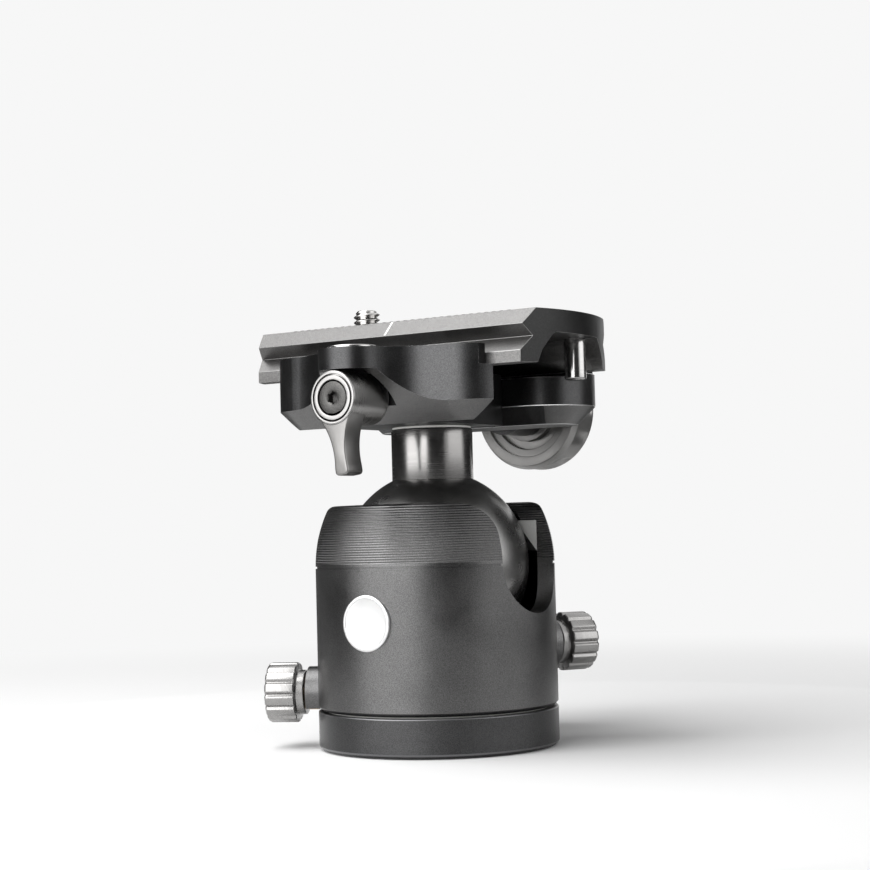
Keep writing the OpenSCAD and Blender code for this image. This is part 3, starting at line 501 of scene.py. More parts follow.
RUBBER = Finish("rubber_black", (0.018, 0.018, 0.018), 0.0, 0.75, 0.5, 7000.0, 0.3)
# far lighter than black_blast: a painted highlight along the jaws' eased edges
PAINTED_JAW_EDGE_HIGHLIGHT = Finish("painted_jaw_edge_highlight", (0.80, 0.80, 0.80), 1.0, 0.3, 0.1, 9000.0, 0.1)
BADGE = Finish("badge_silver", (0.75, 0.75, 0.75), 1.0, 0.32, 0.05, 9000.0, 0.05, Marks.ROUND_Y, 0.08)
KNOB_GREY = Finish("knob_grey", (0.30, 0.295, 0.29), 1.0, 0.40, 0.05, 9000.0, 0.12, Marks.ROUND_Y, 0.03)
TITAN_FACE = Finish("titan_face", (0.42, 0.41, 0.405), 1.0, 0.3, 0.05, 9000.0, 0.1)
STEEL_BRIGHT = Finish("steel_bright", (0.60, 0.59, 0.58), 1.0, 0.2, 0.0, 9000.0, 0.08)
WHITE_PAINT = Finish("index_white", (0.80, 0.80, 0.79), 0.0, 0.5, 0.1, 9000.0, 0.08)
INK = Finish("ink_black", (0.02, 0.02, 0.02), 0.0, 0.5, 0.0, 9000.0, 0.05)
LIQUID = Finish("level_liquid", (0.42, 0.60, 0.06), 0.0, 0.12, 0.0, 9000.0, 0.06)
BUBBLE = Finish("level_bubble", (0.78, 0.88, 0.45), 0.0, 0.08, 0.0, 9000.0, 0.03)


@dataclass(frozen=True)
class ClearFinish:
    """A clear cast glass or acrylic."""

    name: str
    color: Point
    roughness: float = 0.03
    ior: float = 1.49

    def build(self) -> bpy.types.Material:
        """Builds the material once.

        Returns:
            The material, also at each later call.
        """
        made = bpy.data.materials.get(self.name)
        if made is not None:
            return made
        made, _, shader = paint(self.name)
        preset(shader, {"Base Color": (*self.color, 1.0), "Roughness": self.roughness, "Transmission Weight": 1.0,
                        "IOR": self.ior})
        return made


GLASS = ClearFinish("level_glass", (0.97, 0.99, 0.95))


# ------------------------------------------------------------------------------------------------------ shapes


def frame_of(origin: Point, axis: Point) -> np.ndarray:
    """A 4 x 4 placement whose local +Z runs along an axis from an origin.

    Args:
        origin: where the local origin goes, in millimetres.
        axis: the direction of the local +Z.

    Returns:
        The placement as a matrix, with local +X as level as it can be.
    """
    w = np.array(axis, float) / np.linalg.norm(axis)
    up = np.array((0.0, 0.0, 1.0)) if abs(w[2]) < 0.9 else np.array((1.0, 0.0, 0.0))
    u = np.cross(up, w)
    u /= np.linalg.norm(u)
    matrix = np.eye(4)
    matrix[:3, 0], matrix[:3, 1], matrix[:3, 2], matrix[:3, 3] = u, np.cross(w, u), w, origin
    return matrix


def moved(x: float = 0.0, y: float = 0.0, z: float = 0.0) -> np.ndarray:
    """An upright placement at a point, in millimetres.

    Args:
        x: the point's place along X.
        y: along Y.
        z: along Z.

    Returns:
        The placement as a 4 x 4 matrix.
    """
    matrix = np.eye(4)
    matrix[:3, 3] = x, y, z
    return matrix


UPRIGHT = moved()


def eased_path(points: list[Point], closed: bool = False, steps: int = 5) -> np.ndarray:
    """A line through corners, each rounded to its own radius.

    A corner's arc starts and ends where a circle of its radius touches both of its sides, and its points are
    spread evenly over the angle between them.

    Args:
        points: a, b and the corner's radius, for each corner.
        closed: whether the line returns to its start.
        steps: points on each arc.

    Returns:
        The rounded line, one row of a and b for each point.
    """
    corners = np.array([p[:2] for p in points], float)
    radii = [p[2] for p in points]
    count = len(points)
    made = []
    for i, radius in enumerate(radii):
        here = corners[i]
        if radius <= 0 or (not closed and i in (0, count - 1)):
            made.append(here[None])
            continue
        before, after = corners[i - 1] - here, corners[(i + 1) % count] - here
        long_before, long_after = np.linalg.norm(before), np.linalg.norm(after)
        before, after = before / long_before, after / long_after
        half = math.acos(float(np.clip(before @ after, -1, 1))) / 2
        if half > math.pi / 2 - 0.02 or half < 0.02:
            made.append(here[None])
            continue
        reach = min(radius / math.tan(half), 0.48 * long_before, 0.48 * long_after)
        radius = reach * math.tan(half)
        centre = here + (before + after) / np.linalg.norm(before + after) * radius / math.sin(half)
        start, end = here + before * reach - centre, here + after * reach - centre
        a0, a1 = math.atan2(start[1], start[0]), math.atan2(end[1], end[0])
        sweep = (a1 - a0 + math.pi) % TAU - math.pi
        angles = a0 + sweep * np.linspace(0, 1, steps)
        made.append(centre + radius * np.stack((np.cos(angles), np.sin(angles)), 1))
    return np.concatenate(made)


def round_z(radius: object, angles: np.ndarray, level: object) -> np.ndarray:
    """Points at radii, angles and levels about the local Z, as X, Y and Z in a last axis."""
    return np.stack((radius * np.cos(angles), radius * np.sin(angles), level + 0 * angles), -1)


def whole_turn(around: int) -> np.ndarray:
    """Even angles round a whole turn, without its end."""
    return np.linspace(0, TAU, around, endpoint=False)


def grid_faces(rows: int, columns: int, wrap_rows: bool, wrap_columns: bool) -> np.ndarray:
    """The four corners of each cell of a grid of points, as indices into its flattened rows.

    Args:
        rows: the grid's rows.
        columns: its columns.
        wrap_rows: whether its last row joins its first.
        wrap_columns: whether its last column joins its first.

    Returns:
        One row of four indices for each cell.
    """
    i = np.arange(rows if wrap_rows else rows - 1)
    j = np.arange(columns if wrap_columns else columns - 1)
    i, j = (a.ravel() for a in np.meshgrid(i, j, indexing="ij"))
    i1, j1 = (i + 1) % rows, (j + 1) % columns
    return np.stack((i * columns + j, i * columns + j1, i1 * columns + j1, i1 * columns + j), 1)


@dataclass
class Shell:
    """Points in millimetres and faces over them, gathered before they become a mesh."""

    points: list[np.ndarray] = field(default_factory=list)
    faces: list[list[int]] = field(default_factory=list)
    count: int = 0

    def grid(self, surface: np.ndarray, wrap_rows: bool = False, wrap_columns: bool = False) -> "Shell":
        """Adds a grid of points and the faces between them.

        Args:
            surface: the points, rows by columns by three.
            wrap_rows: whether the last row joins the first.
            wrap_columns: whether the last column joins the first.

        Returns:
            The shell itself.
        """
        rows, columns = surface.shape[:2]
        cells = grid_faces(rows, columns, wrap_rows, wrap_columns) + self.count
        self.points.append(surface.reshape(-1, 3))
        self.faces.extend(cells.tolist())
        self.count += rows * columns
        return self

    def cap(self, ring: np.ndarray) -> "Shell":
        """Adds one flat face over a ring of points.

        Args:
            ring: the points in order.

        Returns:
            The shell itself.
        """
        self.points.append(ring)
        self.faces.append(list(range(self.count, self.count + len(ring))))
        self.count += len(ring)
        return self

    def bar(self, surface: np.ndarray) -> "Shell":
        """Adds a grid whose rows close on themselves, with a flat face over its first and its last row."""
        return self.grid(surface, wrap_columns=True).cap(surface[0]).cap(surface[-1])

    def build(self, name: str, place: np.ndarray = UPRIGHT, sharp: float = SHARP_ANGLE) -> Piece:
        """Makes the mesh in metres, with its doubles merged and its faces turned outwards.

        Args:
            name: the piece's name.
            place: where the shell's own axes lie in the frame.
            sharp: the angle past which an edge is shown sharp, in degrees.

        Returns:
            The new object, at the origin.
        """
        points = np.concatenate(self.points)
        points = (points @ place[:3, :3].T + place[:3, 3]) * MM
        mesh = bpy.data.meshes.new(name)
        mesh.from_pydata(points, [], self.faces)
        return settle(mesh, name, sharp)


def settle(mesh: bpy.types.Mesh, name: str, sharp: float) -> Piece:
    """Merges a mesh's doubles, turns its faces outwards and shows it.

    Args:
        mesh: the mesh.
        name: the piece's name.
        sharp: the angle past which an edge is shown sharp, in degrees.

    Returns:
        The new object.
    """
    work = bmesh.new()
    work.from_mesh(mesh)
    bmesh.ops.remove_doubles(work, verts=work.verts, dist=DOUBLES)
    bmesh.ops.dissolve_degenerate(work, dist=1e-8, edges=work.edges)
    bmesh.ops.recalc_face_normals(work, faces=work.faces)
    return shown(work, mesh, name, sharp)


def shown(work: bmesh.types.BMesh, mesh: bpy.types.Mesh, name: str, sharp: float = SHARP_ANGLE) -> Piece:
    """Puts worked faces into their mesh, smooths all but its sharp edges and links it as an object.

    Args:
        work: the worked faces.
        mesh: the mesh that they go into.
        name: the piece's name.
        sharp: the angle past which an edge is shown sharp, in degrees.

    Returns:
        The new object.
    """
    work.to_mesh(mesh)
    work.free()
    mesh.shade_smooth()
    mesh.set_sharp_from_angle(angle=math.radians(sharp))
    return linked(name, mesh)


def linked(name: str, data: bpy.types.ID) -> Piece:
    """A new object at the origin, linked to the scene.

    Args:
        name: its name.
        data: its mesh, lamp or camera.

    Returns:
        The object.
    """
    made = bpy.data.objects.new(name, data)
    bpy.context.scene.collection.objects.link(made)
    return made


def turned(profile: np.ndarray, around: int = 128, closed: bool = False) -> Shell:
    """A turned piece: each profile point (radius, height) sweeps a full circle about the local Z.

    Args:
        profile: radius and height for each point.
        around: points round the piece.
        closed: whether the profile returns to its start.

    Returns:
        The shell.
    """
    surface = round_z(profile[:, :1], whole_turn(around), profile[:, 1:2])
    return Shell().grid(surface, wrap_rows=closed, wrap_columns=True)


def fluted(profile: np.ndarray, weights: np.ndarray, flutes: int, depth: float, share: float, around: int,
           closed: bool = False) -> Shell:
    """A turned piece with flutes round it.

    The radius at an angle is the profile's radius less the depth times the profile's own weight times a flute
    shape, which is a raised cosine over the given share of each pitch and nothing between the flutes.

    Args:
        profile: radius and height for each point.
        weights: the part of the flutes' depth that each point takes.
        flutes: how many there are.
        depth: their depth where the weight is 1.
        share: how much of the pitch a flute takes.
        around: points round the piece.
        closed: whether the profile returns to its start.

    Returns:
        The shell.
    """
    angles = whole_turn(around)
    phase = (angles * flutes / TAU + 0.5) % 1 - 0.5
    shape = np.where(np.abs(phase) < share / 2, np.cos(phase * math.pi / share) ** 2, 0)
    r = profile[:, :1] - depth * weights[:, None] * shape
    return Shell().grid(round_z(r, angles, profile[:, 1:2]), wrap_rows=closed, wrap_columns=True)


def threaded(minor: float, major: float, pitch: float, z0: float, z1: float, fade: float,
             around: int = 96) -> np.ndarray:
    """A screw thread's surface as a grid: the radius rises from the root to the crest and back once a pitch.

    A point at angle a and height z has the phase z / pitch - a / turn. The radius is a clipped triangle wave of
    that phase between the minor and the major radius, and over the fade length at each end it returns to the minor.

    Args:
        minor: root radius.
        major: crest radius.
        pitch: height of one turn.
        z0: lower end.
        z1: upper end.
        fade: length over which the thread runs out.
        around: points round the screw.

    Returns:
        The grid, rows upwards by columns round.
    """
    rows = int((z1 - z0) / pitch * 16) + 2
    z = np.linspace(z0, z1, rows)[:, None]
    angles = whole_turn(around)[None]
    phase = (z / pitch - angles / TAU) % 1
    wave = np.clip((0.5 - np.abs(phase - 0.5)) * 2.6 - 0.15, 0, 1)
    ends = np.clip(np.minimum(z - z0, z1 - z) / fade, 0, 1) if fade > 0 else 1.0
    r = minor + (major - minor) * wave * ends
    return round_z(r, angles, z)


def slab(outline: np.ndarray, z0: float, z1: float, ease: float, steps: int = 5) -> Shell:
    """An extruded plate with rounded edges: the outline is carried up along a profile that turns in at both ends.

    Each outline point moves inwards along its own normal by the profile's offset, a quarter circle at each end.

    Args:
        outline: a closed line, counter-clockwise, one row for each point.
        z0: the lower face.
        z1: the upper face.
        ease: the edges' radius.
        steps: points on each quarter circle.

    Returns:
        The shell.
    """
    along = np.roll(outline, -1, 0) - np.roll(outline, 1, 0)
    inward = np.stack((-along[:, 1], along[:, 0]), 1) / np.linalg.norm(along, axis=1)[:, None]
    turn = np.linspace(0, math.pi / 2, steps)
    offset = np.concatenate((ease * (1 - np.sin(turn)), ease * (1 - np.cos(turn))))
    level = np.concatenate((z0 + ease * (1 - np.cos(turn)), z1 - ease * (1 - np.sin(turn))))
    flat = outline[None] + offset[:, None, None] * inward[None]
    surface = np.dstack((flat, np.broadcast_to(level[:, None], flat.shape[:2])))
    return Shell().bar(surface)


def swept(path: np.ndarray, radius: float, around: int = 24) -> Shell:
    """A round bar along a path: each point carries a circle at right angles to the path's direction there.

    Args:
        path: the points of its middle line.
        radius: the bar's radius.
        around: points round the bar.

    Returns:
        The shell.
    """
    along = np.gradient(path, axis=0)
    along /= np.linalg.norm(along, axis=1)[:, None]
    side = np.cross(along, np.array((0.0, 0.0, 1.0)))
    side /= np.linalg.norm(side, axis=1)[:, None]
    up = np.cross(side, along)
    angles = whole_turn(around)
    circle = radius * (np.cos(angles)[None, :, None] * side[:, None] + np.sin(angles)[None, :, None] * up[:, None])
    return Shell().bar(path[:, None] + circle)


def eased_node(node: str, name: str, width: float, seams: tuple[Box, ...] = ()) -> Piece:
    """A merged copy of a CAD node's mesh whose sharp edges are eased by a bevel.

    The bevel's faces take the piece's second material, which on the blasted pieces is lighter and paints a highlight
    along the eased edges.

    Args:
        node: the CAD node.
        name: the new piece's name.
        width: the bevel's width in millimetres.
        seams: where two arcs end beside each other, as low X, high X, low Y, high Y; their short steps are merged.

    Returns:
        The new object, at the origin.
    """
    source = bpy.data.objects[node].data
    points = np.zeros(len(source.vertices) * 3, np.float32)
    source.vertices.foreach_get("co", points)
    corners = np.zeros(len(source.loops), np.int32)
    source.loops.foreach_get("vertex_index", corners)
    mesh = bpy.data.meshes.new(name)
    mesh.from_pydata(points.reshape(-1, 3), [], corners.reshape(-1, 3))
    work = bmesh.new()
    work.from_mesh(mesh)
    bmesh.ops.remove_doubles(work, verts=work.verts, dist=CAD_DOUBLES)
    for x0, x1, y0, y1 in seams:
        near = [v for v in work.verts if x0 < v.co.x / MM < x1 and y0 < v.co.y / MM < y1]
        bmesh.ops.remove_doubles(work, verts=near, dist=SEAM_REACH * MM)
    bmesh.ops.dissolve_degenerate(work, dist=1e-6, edges=work.edges)
    bmesh.ops.dissolve_limit(work, angle_limit=math.radians(FLAT_ANGLE), verts=work.verts, edges=work.edges)
    made = shown(work, mesh, name)
    bevel = made.modifiers.new("eased_edges", "BEVEL")
    bevel.width = width * MM
    bevel.segments = EASE_SEGMENTS
    bevel.limit_method = "ANGLE"
    bevel.angle_limit = math.radians(EASE_ANGLE)
    bevel.miter_outer = "MITER_ARC"
    bevel.use_clamp_overlap = True
    bevel.material = 1
    bevel.harden_normals = False
    even = made.modifiers.new("even_shading", "WEIGHTED_NORMAL")
    even.keep_sharp = True
    even.weight = 50
    return made


class Dresser:
    """Gives pieces their finish and body, and names each one's slot in the log."""

    @staticmethod
    def put(piece: Piece, body: Body, slot: Slot, *finishes: Finish, replaces: tuple[str, ...] = ()) -> None:
        """Dresses a piece and fixes it to its body.

        Args:
            piece: the piece.
            body: the body it rides on.
            slot: the record's slot that it belongs to.
            finishes: its finishes, in the order of its material slots.
            replaces: the CAD nodes that it stands for.
        """
        for finish in finishes:
            piece.data.materials.append(finish.build())
        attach(piece, body.value)
        if replaces:
            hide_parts(*replaces)
        LOG.info("piece %s on %s in %s, %d faces", piece.name, body.value, slot.value, len(piece.data.polygons))

    @staticmethod
    def nodes(finish: Finish, *names: str) -> None:
        """Gives the CAD nodes that stay their finish.

        Args:
            finish: the finish.
            names: the nodes.
        """
        for name in names:
            data = bpy.data.objects[name].data
            data.materials.clear()
            data.materials.append(finish.build())
            LOG.info("node %s in %s", name, finish.name)


# ------------------------------------------------------------------------------------------------ sub-assemblies


def polar_rows(rows: list[tuple[object, float]], around: int) -> np.ndarray:
    """A grid whose rows are closed lines round the local Z, each at its own level.

    Args:
        rows: for each row a radius, or a function of the angle that gives it, and a level.
        around: points round the axis.

    Returns:
        The grid.
    """
    angles = whole_turn(around)
    return np.array([round_z(r(angles) if callable(r) else r, angles, level) for r, level in rows])


def hexagon(across: float) -> object:
    """The radius of a hexagon, by its size across flats, as a function of the angle."""
    return lambda angles: across / 2 / np.cos((angles + math.pi / 6) % (math.pi / 3) - math.pi / 6)


def socket_head(radius: float, base: float, face: float, across: float, depth: float) -> Shell:
    """A cylinder head with a hexagon socket: rows round the axis from the base, over the face, down to the socket.

    Args:
        radius: the head's radius.
        base: the height of its underside.
        face: the height of its face.
        across: the socket's size across flats.
        depth: the socket's depth.

    Returns:
        The shell.
    """
    soft = min(0.3, radius * 0.1)
    rows = [
        (0.0, base), (radius - 0.05, base), (radius, base + 0.05), (radius, face - soft),
        (radius - soft * 0.3, face - soft * 0.3), (radius - soft, face), (across * 0.66 + 0.12, face),
        (across * 0.62, face - 0.06), (hexagon(across), face - 0.3), (hexagon(across), face - depth),
        (0.0, face - depth - across * 0.15),
    ]
    return Shell().grid(polar_rows(rows, 96), wrap_columns=True)


@dataclass
class Base:
    """The base disc with its tapped insert, screws and pivot; the tripod hole's thread runs up to thread_top."""

    hole_r: float = 3.97
    crest_r: float = 3.66
    thread_pitch: float = 1.5875
    thread_top: float = 9.9

    def build(self) -> None:
        """Builds and dresses every piece of the base."""
        # the second finish goes on the eased edges: on the base disc it is a painted highlight
        for node, name, width, slot, face, edge in (
            ("base_disc", "base_plate", 0.25, Slot.BLACK, BLACK_BLAST, PAINTED_SOFT_EDGE_HIGHLIGHT),
            ("thread_insert", "insert_plate", 0.12, Slot.STEEL, STEEL, STEEL),
            ("base_screws", "base_screw_set", 0.08, Slot.DARK_STEEL, DARK_STEEL, DARK_STEEL),
        ):
            Dresser.put(eased_node(node, name, width), Body.BASE, slot, face, edge, replaces=(node,))
        Dresser.put(self.thread(), Body.BASE, Slot.STEEL, STEEL)
        Dresser.nodes(STEEL, "pan_retainer")
        Dresser.nodes(WHITE_POLYMER, "pan_washer")

    def thread(self) -> Piece:
        """The tripod hole's thread: a thin liner whose inner side winds up the hole.

        Returns:
            The liner.
        """
        winding = threaded(self.crest_r, self.hole_r - 0.02, self.thread_pitch, 0.5, self.thread_top, 0.0)
        wall = polar_rows([(self.hole_r - 0.005, self.thread_top), (self.hole_r - 0.005, 0.5)], winding.shape[1])
        surface = np.concatenate((winding, wall))
        return Shell().grid(surface, wrap_rows=True, wrap_columns=True).build("tripod_thread", sharp=60)


@dataclass
class Housing:
    """The ball's housing, its seats and its badge."""

    badge_r: float = 6.3
    badge_z: float = 29.8
    badge_face: float = 28.25
    badge_back: float = 26.5
    badge_rim: float = 0.7
    badge_dish: float = 0.14

    def build(self) -> None:
        """Builds and dresses the housing and what is fixed in it."""
        # the housing's eased edges take a painted highlight
        Dresser.put(eased_node("housing", "housing_shell", 0.16), Body.HOUSING, Slot.BLACK, HOUSING_BLAST, PAINTED_SOFT_EDGE_HIGHLIGHT,
                    replaces=("housing",))
        Dresser.put(self.badge(), Body.HOUSING, Slot.POLISHED, BADGE, replaces=("badge_disc",))
        Dresser.nodes(GREY_POLYMER, "seat_ring", "lower_cup")
        Dresser.nodes(STEEL, "cup_spring")
        for knob in ("main", "drag", "pan"):
            Dresser.nodes(BRASS, f"{knob}_bushing", f"{knob}_plunger")
            Dresser.nodes(STEEL, f"{knob}_shaft")

    def badge(self) -> Piece:
        """The blank badge: a turned disc with a shallow dish inside a raised rim.

        Returns:
            The badge.
        """
        r, back, face, rim, dish = self.badge_r, self.badge_back, self.badge_face, self.badge_rim, self.badge_dish
        profile = eased_path([
            (0, back, 0), (r, back, 0.05), (r, face, 0.25), (r - rim, face, 0.1), (r - rim - 0.1, face - dish, 0.1),
            (0, face - dish, 0),
        ])
        return turned(profile, 128).build("badge_plate", frame_of((0, 0, self.badge_z), (0, -1, 0)))


@dataclass
class SideKnob:
    """One of the housing's knobs, placed radially.

    Attributes:
        azimuth: its direction, counted from -Y towards +X, in degrees.
        height: its axis above the tripod face.
        start: the radius at which its knob starts.
        length: the knob's length.
        radius: the knob's radius.
    """

    azimuth: float
    height: float
    start: float
    length: float
    radius: float

    def place(self) -> np.ndarray:
        """Where the knob's own axes lie: local Z runs outwards from the head's axis."""
        a = math.radians(self.azimuth)
        return frame_of((0, 0, self.height), (math.sin(a), -math.cos(a), 0))


@dataclass
class MainKnob(SideKnob):
    """The large lock knob: a waisted body, a ribbed rubber grip and a turned cap."""

    ribs: int = 24
    rib_depth: float = 0.75
    rib_share: float = 0.62
    bore: float = 2.52

    def build(self) -> None:
        """Builds and dresses the knob's three pieces."""
        place, r, s, e = self.place(), self.radius, self.start, self.start + self.length
        body = eased_path([
            (self.bore, s, 0), (r - 7, s, 0.5), (r - 4, s + 4.9, 0.8), (r, s + 4.9, 0.5), (r, s + 6.4, 0.2),
            (r - 2, s + 6.4, 0.1), (r - 2, e - 1.6, 0.1), (r - 0.6, e - 1.6, 0.2), (r - 0.6, e, 0.5),
            (r - 5.9, e, 0.2), (r - 5.9, e - 1.2, 0), (self.bore, e - 1.2, 0),
        ], closed=True)
        Dresser.put(turned(body, 160, closed=True).build("main_knob_body", place), Body.MAIN_KNOB, Slot.BLACK,
                    BLACK_BLAST, replaces=("main_knob",))
        grip = eased_path([
            (r - 1.97, s + 6.45, 0), (r, s + 6.45, 0.5), (r, e - 1.65, 0.5), (r - 1.97, e - 1.65, 0),
        ], closed=True, steps=6)
        weights = np.where(grip[:, 0] > r - 1.2, 1.0, 0.0)
        shell = fluted(grip, weights, self.ribs, self.rib_depth, self.rib_share, 576, closed=True)
        Dresser.put(shell.build("main_knob_grip", place, 40), Body.MAIN_KNOB, Slot.RUBBER, RUBBER,
                    replaces=("main_grip",))
        cap = eased_path([
            (0, e - 1.15, 0), (r - 6.02, e - 1.15, 0), (r - 6.02, e + 0.2, 0.3), (r - 7.4, e + 0.2, 0.15),
            (r - 7.6, e + 0.02, 0.15), (0, e + 0.02, 0),
        ])
        Dresser.put(turned(cap, 128).build("main_knob_cap", place), Body.MAIN_KNOB, Slot.TITAN, TITAN_FACE,
                    replaces=("main_cap",))


@dataclass
class SmallKnob(SideKnob):
    """The drag or pan knob: a short neck and a fluted grip with a dished end."""

    name: str = "drag"
    body: Body = Body.DRAG_KNOB
    flutes: int = 14
    flute_depth: float = 0.55
    flute_share: float = 0.5
    bore: float = 1.52

    def build(self) -> None:
        """Builds and dresses the knob."""
        r, s, e = self.radius, self.start, self.start + self.length
        profile = eased_path([
            (self.bore, s, 0), (r - 1.8, s, 0.3), (r - 1.8, s + 1.9, 0.2), (r, s + 1.9, 0.35), (r, e, 0.8),
            (r - 2.2, e, 0.2), (r - 2.5, e - 0.35, 0.2), (0, e - 0.35, 0),
        ])
        profile = np.concatenate(([(0.0, s + 1.0), (self.bore, s + 1.0)], profile))
        weights = np.where((profile[:, 0] > r - 1.2) & (profile[:, 1] > s + 1.7), 1.0, 0.0)
        shell = fluted(profile, weights, self.flutes, self.flute_depth, self.flute_share, 448)
        Dresser.put(shell.build(f"{self.name}_knob_grip", self.place()), self.body, Slot.TITAN, TITAN_TURNED,
                    replaces=(f"{self.name}_knob",))


@dataclass
class Ball:
    """The ball, its bright neck and the spindle's fittings.

    Attributes:
        radius: the ball's radius.
        centre: its centre's height above the tripod face.
        neck_r: the neck's radius.
        foot: the height of the flat that the neck stands on.
        top: the neck's upper end.
        tail: how far its tail runs down into the ball.
        tail_r: the tail's radius.
        spindle_r: the radius of the spindle above the neck.
        spindle_top: its upper end.
        bolt_bore: the radius of the bolt's hole in it.
        bolt_floor: the hole's floor.
    """

    radius: float = 22.0
    centre: float = 42.0
    neck_r: float = 9.55
    foot: float = 61.75
    top: float = 73.8
    tail: float = 14.0
    tail_r: float = 5.0
    spindle_r: float = 6.2
    spindle_top: float = 83.0
    bolt_bore: float = 2.52
    bolt_floor: float = 73.0

    def build(self) -> None:
        """Builds and dresses the ball and its neck."""
        Dresser.put(self.sphere(), Body.BALL, Slot.HARD, BALL_SATIN, replaces=("ball",))
        Dresser.put(self.neck(), Body.BALL, Slot.SATIN, NECK_STEEL, replaces=("neck_stem",))
        Dresser.nodes(WHITE_POLYMER, "thrust_washer")
        Dresser.nodes(STEEL, "stem_washer")
        Dresser.nodes(DARK_STEEL, "stem_bolt")

    def sphere(self) -> Piece:
        """The ball: half a circle turned about the axis, cut flat where the neck stands.

        Returns:
            The ball.
        """
        angles = np.linspace(-math.pi / 2, math.asin((self.foot - self.centre) / self.radius), 96)
        arc = np.stack((self.radius * np.cos(angles), self.centre + self.radius * np.sin(angles)), 1)
        arc[0, 0] = 0
        profile = np.concatenate((arc, [(0.0, self.foot)]))
        return turned(profile, 192).build("ball_sphere")

    def neck(self) -> Piece:
        """The neck: a plain cylinder with eased ends, the spindle above it and the tail in the ball below.

        Returns:
            The neck.
        """
        r, foot, top, tail, spindle = self.neck_r, self.foot, self.top, self.tail_r, self.spindle_r
        profile = eased_path([
            (0, foot - self.tail, 0), (tail, foot - self.tail, 0.3), (tail, foot, 0), (r, foot, 0.15), (r, top, 0.4),
            (spindle, top, 0), (spindle, self.spindle_top, 0.3), (self.bolt_bore, self.spindle_top, 0),
            (self.bolt_bore, self.bolt_floor, 0), (0, self.bolt_floor, 0),
        ])
        return turned(profile, 160).build("neck_post")


def jaw(node: str, name: str, body: Body, seams: tuple[Box, ...] = ()) -> None:
    """Builds and dresses a blasted jaw whose eased edges take a painted highlight; its milled lower chamfers take a
    lighter finish that paints in the light they reflect from below.

    Args:
        node: the CAD node that it stands for.
        name: the new piece's name.
        body: the body it rides on.
        seams: the places where short steps are merged.
    """
    block = eased_node(node, name, 0.22, seams)
    for face in block.data.polygons:
        lean = face.center.x * face.normal.x + face.center.y * face.normal.y
        # faces that lean down and outwards take the painted light of the lighter chamfer finish
        if CHAMFER_FALL[0] < face.normal.z < CHAMFER_FALL[1] and lean > 0:
            face.material_index = 2
    # the eased edges take a painted highlight
    Dresser.put(block, body, Slot.BLACK, BLACK_BLAST, PAINTED_JAW_EDGE_HIGHLIGHT, PAINTED_LIGHT_CHAMFER, replaces=(node,))


@dataclass
class Clamp:
    """The clamp body with its level and the fittings of the far jaw.

    Attributes:
        level_y: where the level's axis stands.
        level_r: the radius of the bezel's rim.
        level_bore: the radius of its hole.
        level_sunk: how far it reaches into the jaw.
        glass_r: the glass's radius.
        jaw_z: the height of the jaw's top.
        rim: how far the bezel stands above it.
    """

    level_y: float = -30.7
    level_r: float = 5.5
    level_bore: float = 4.2
    level_sunk: float = 3.3
    glass_r: float = 4.17
    jaw_z: float = 90.7
    rim: float = 0.7

    def build(self) -> None:
        """Builds and dresses the clamp body and its level."""
        jaw("clamp_body", "clamp_block", Body.CLAMP, ((19.1, 21.4, -25.4, -24.9), (-21.4, -19.1, -25.4, -24.9)))
        self.level()
        Dresser.nodes(STEEL, "screw_nut", "guide_pins", "jaw_springs", "lever_washer")

    def level(self) -> None:
        """Builds the bubble level: a rimmed bezel, the liquid, a ring mark, a bubble and the domed glass."""
        deck, top, r, glass_r = self.jaw_z, self.jaw_z + self.rim, self.level_r, self.glass_r
        under = top - 1.2  # the glass's lower face
        place = moved(0, self.level_y)
        bezel = eased_path([
            (self.level_bore, deck - self.level_sunk, 0), (4.88, deck - self.level_sunk, 0), (4.88, deck + 0.02, 0),
            (r, deck + 0.02, 0.1), (r, top, 0.35), (self.level_bore, top, 0.2),
        ], closed=True)
        Dresser.put(turned(bezel, 128, closed=True).build("level_rim", place), Body.CLAMP, Slot.POLISHED, POLISHED,
                    replaces=("level_bezel",))
        glass = eased_path([(0, under, 0), (glass_r, under, 0.05), (glass_r, top - 0.35, 0.25), (0, top - 0.08, 0)])
        liquid = eased_path([(0, deck - 3.2, 0), (glass_r, deck - 3.2, 0), (glass_r, top - 1.22, 0.1),
                             (0, top - 1.22, 0)])
        ring = round_z(1.75, np.linspace(0, TAU, 97), under)
        angles = np.linspace(-math.pi / 2, math.pi / 2, 17)
        bubble = np.stack((1.15 * np.cos(angles), under + 0.3 * np.sin(angles)), 1)
        bubble[[0, -1], 0] = 0
        for shell, name, spot, finish, nodes in (
            (turned(liquid, 96), "level_liquid", place, LIQUID, ()),
            (turned(glass, 96), "level_glass", place, GLASS, ("level_vial",)),
            (swept(ring, 0.07, 10), "level_mark", place, INK, ()),
            (turned(bubble, 48), "level_bubble", moved(0.5, self.level_y), BUBBLE, ()),
        ):
            Dresser.put(shell.build(name, spot), Body.CLAMP, Slot.VIAL, finish, replaces=nodes)


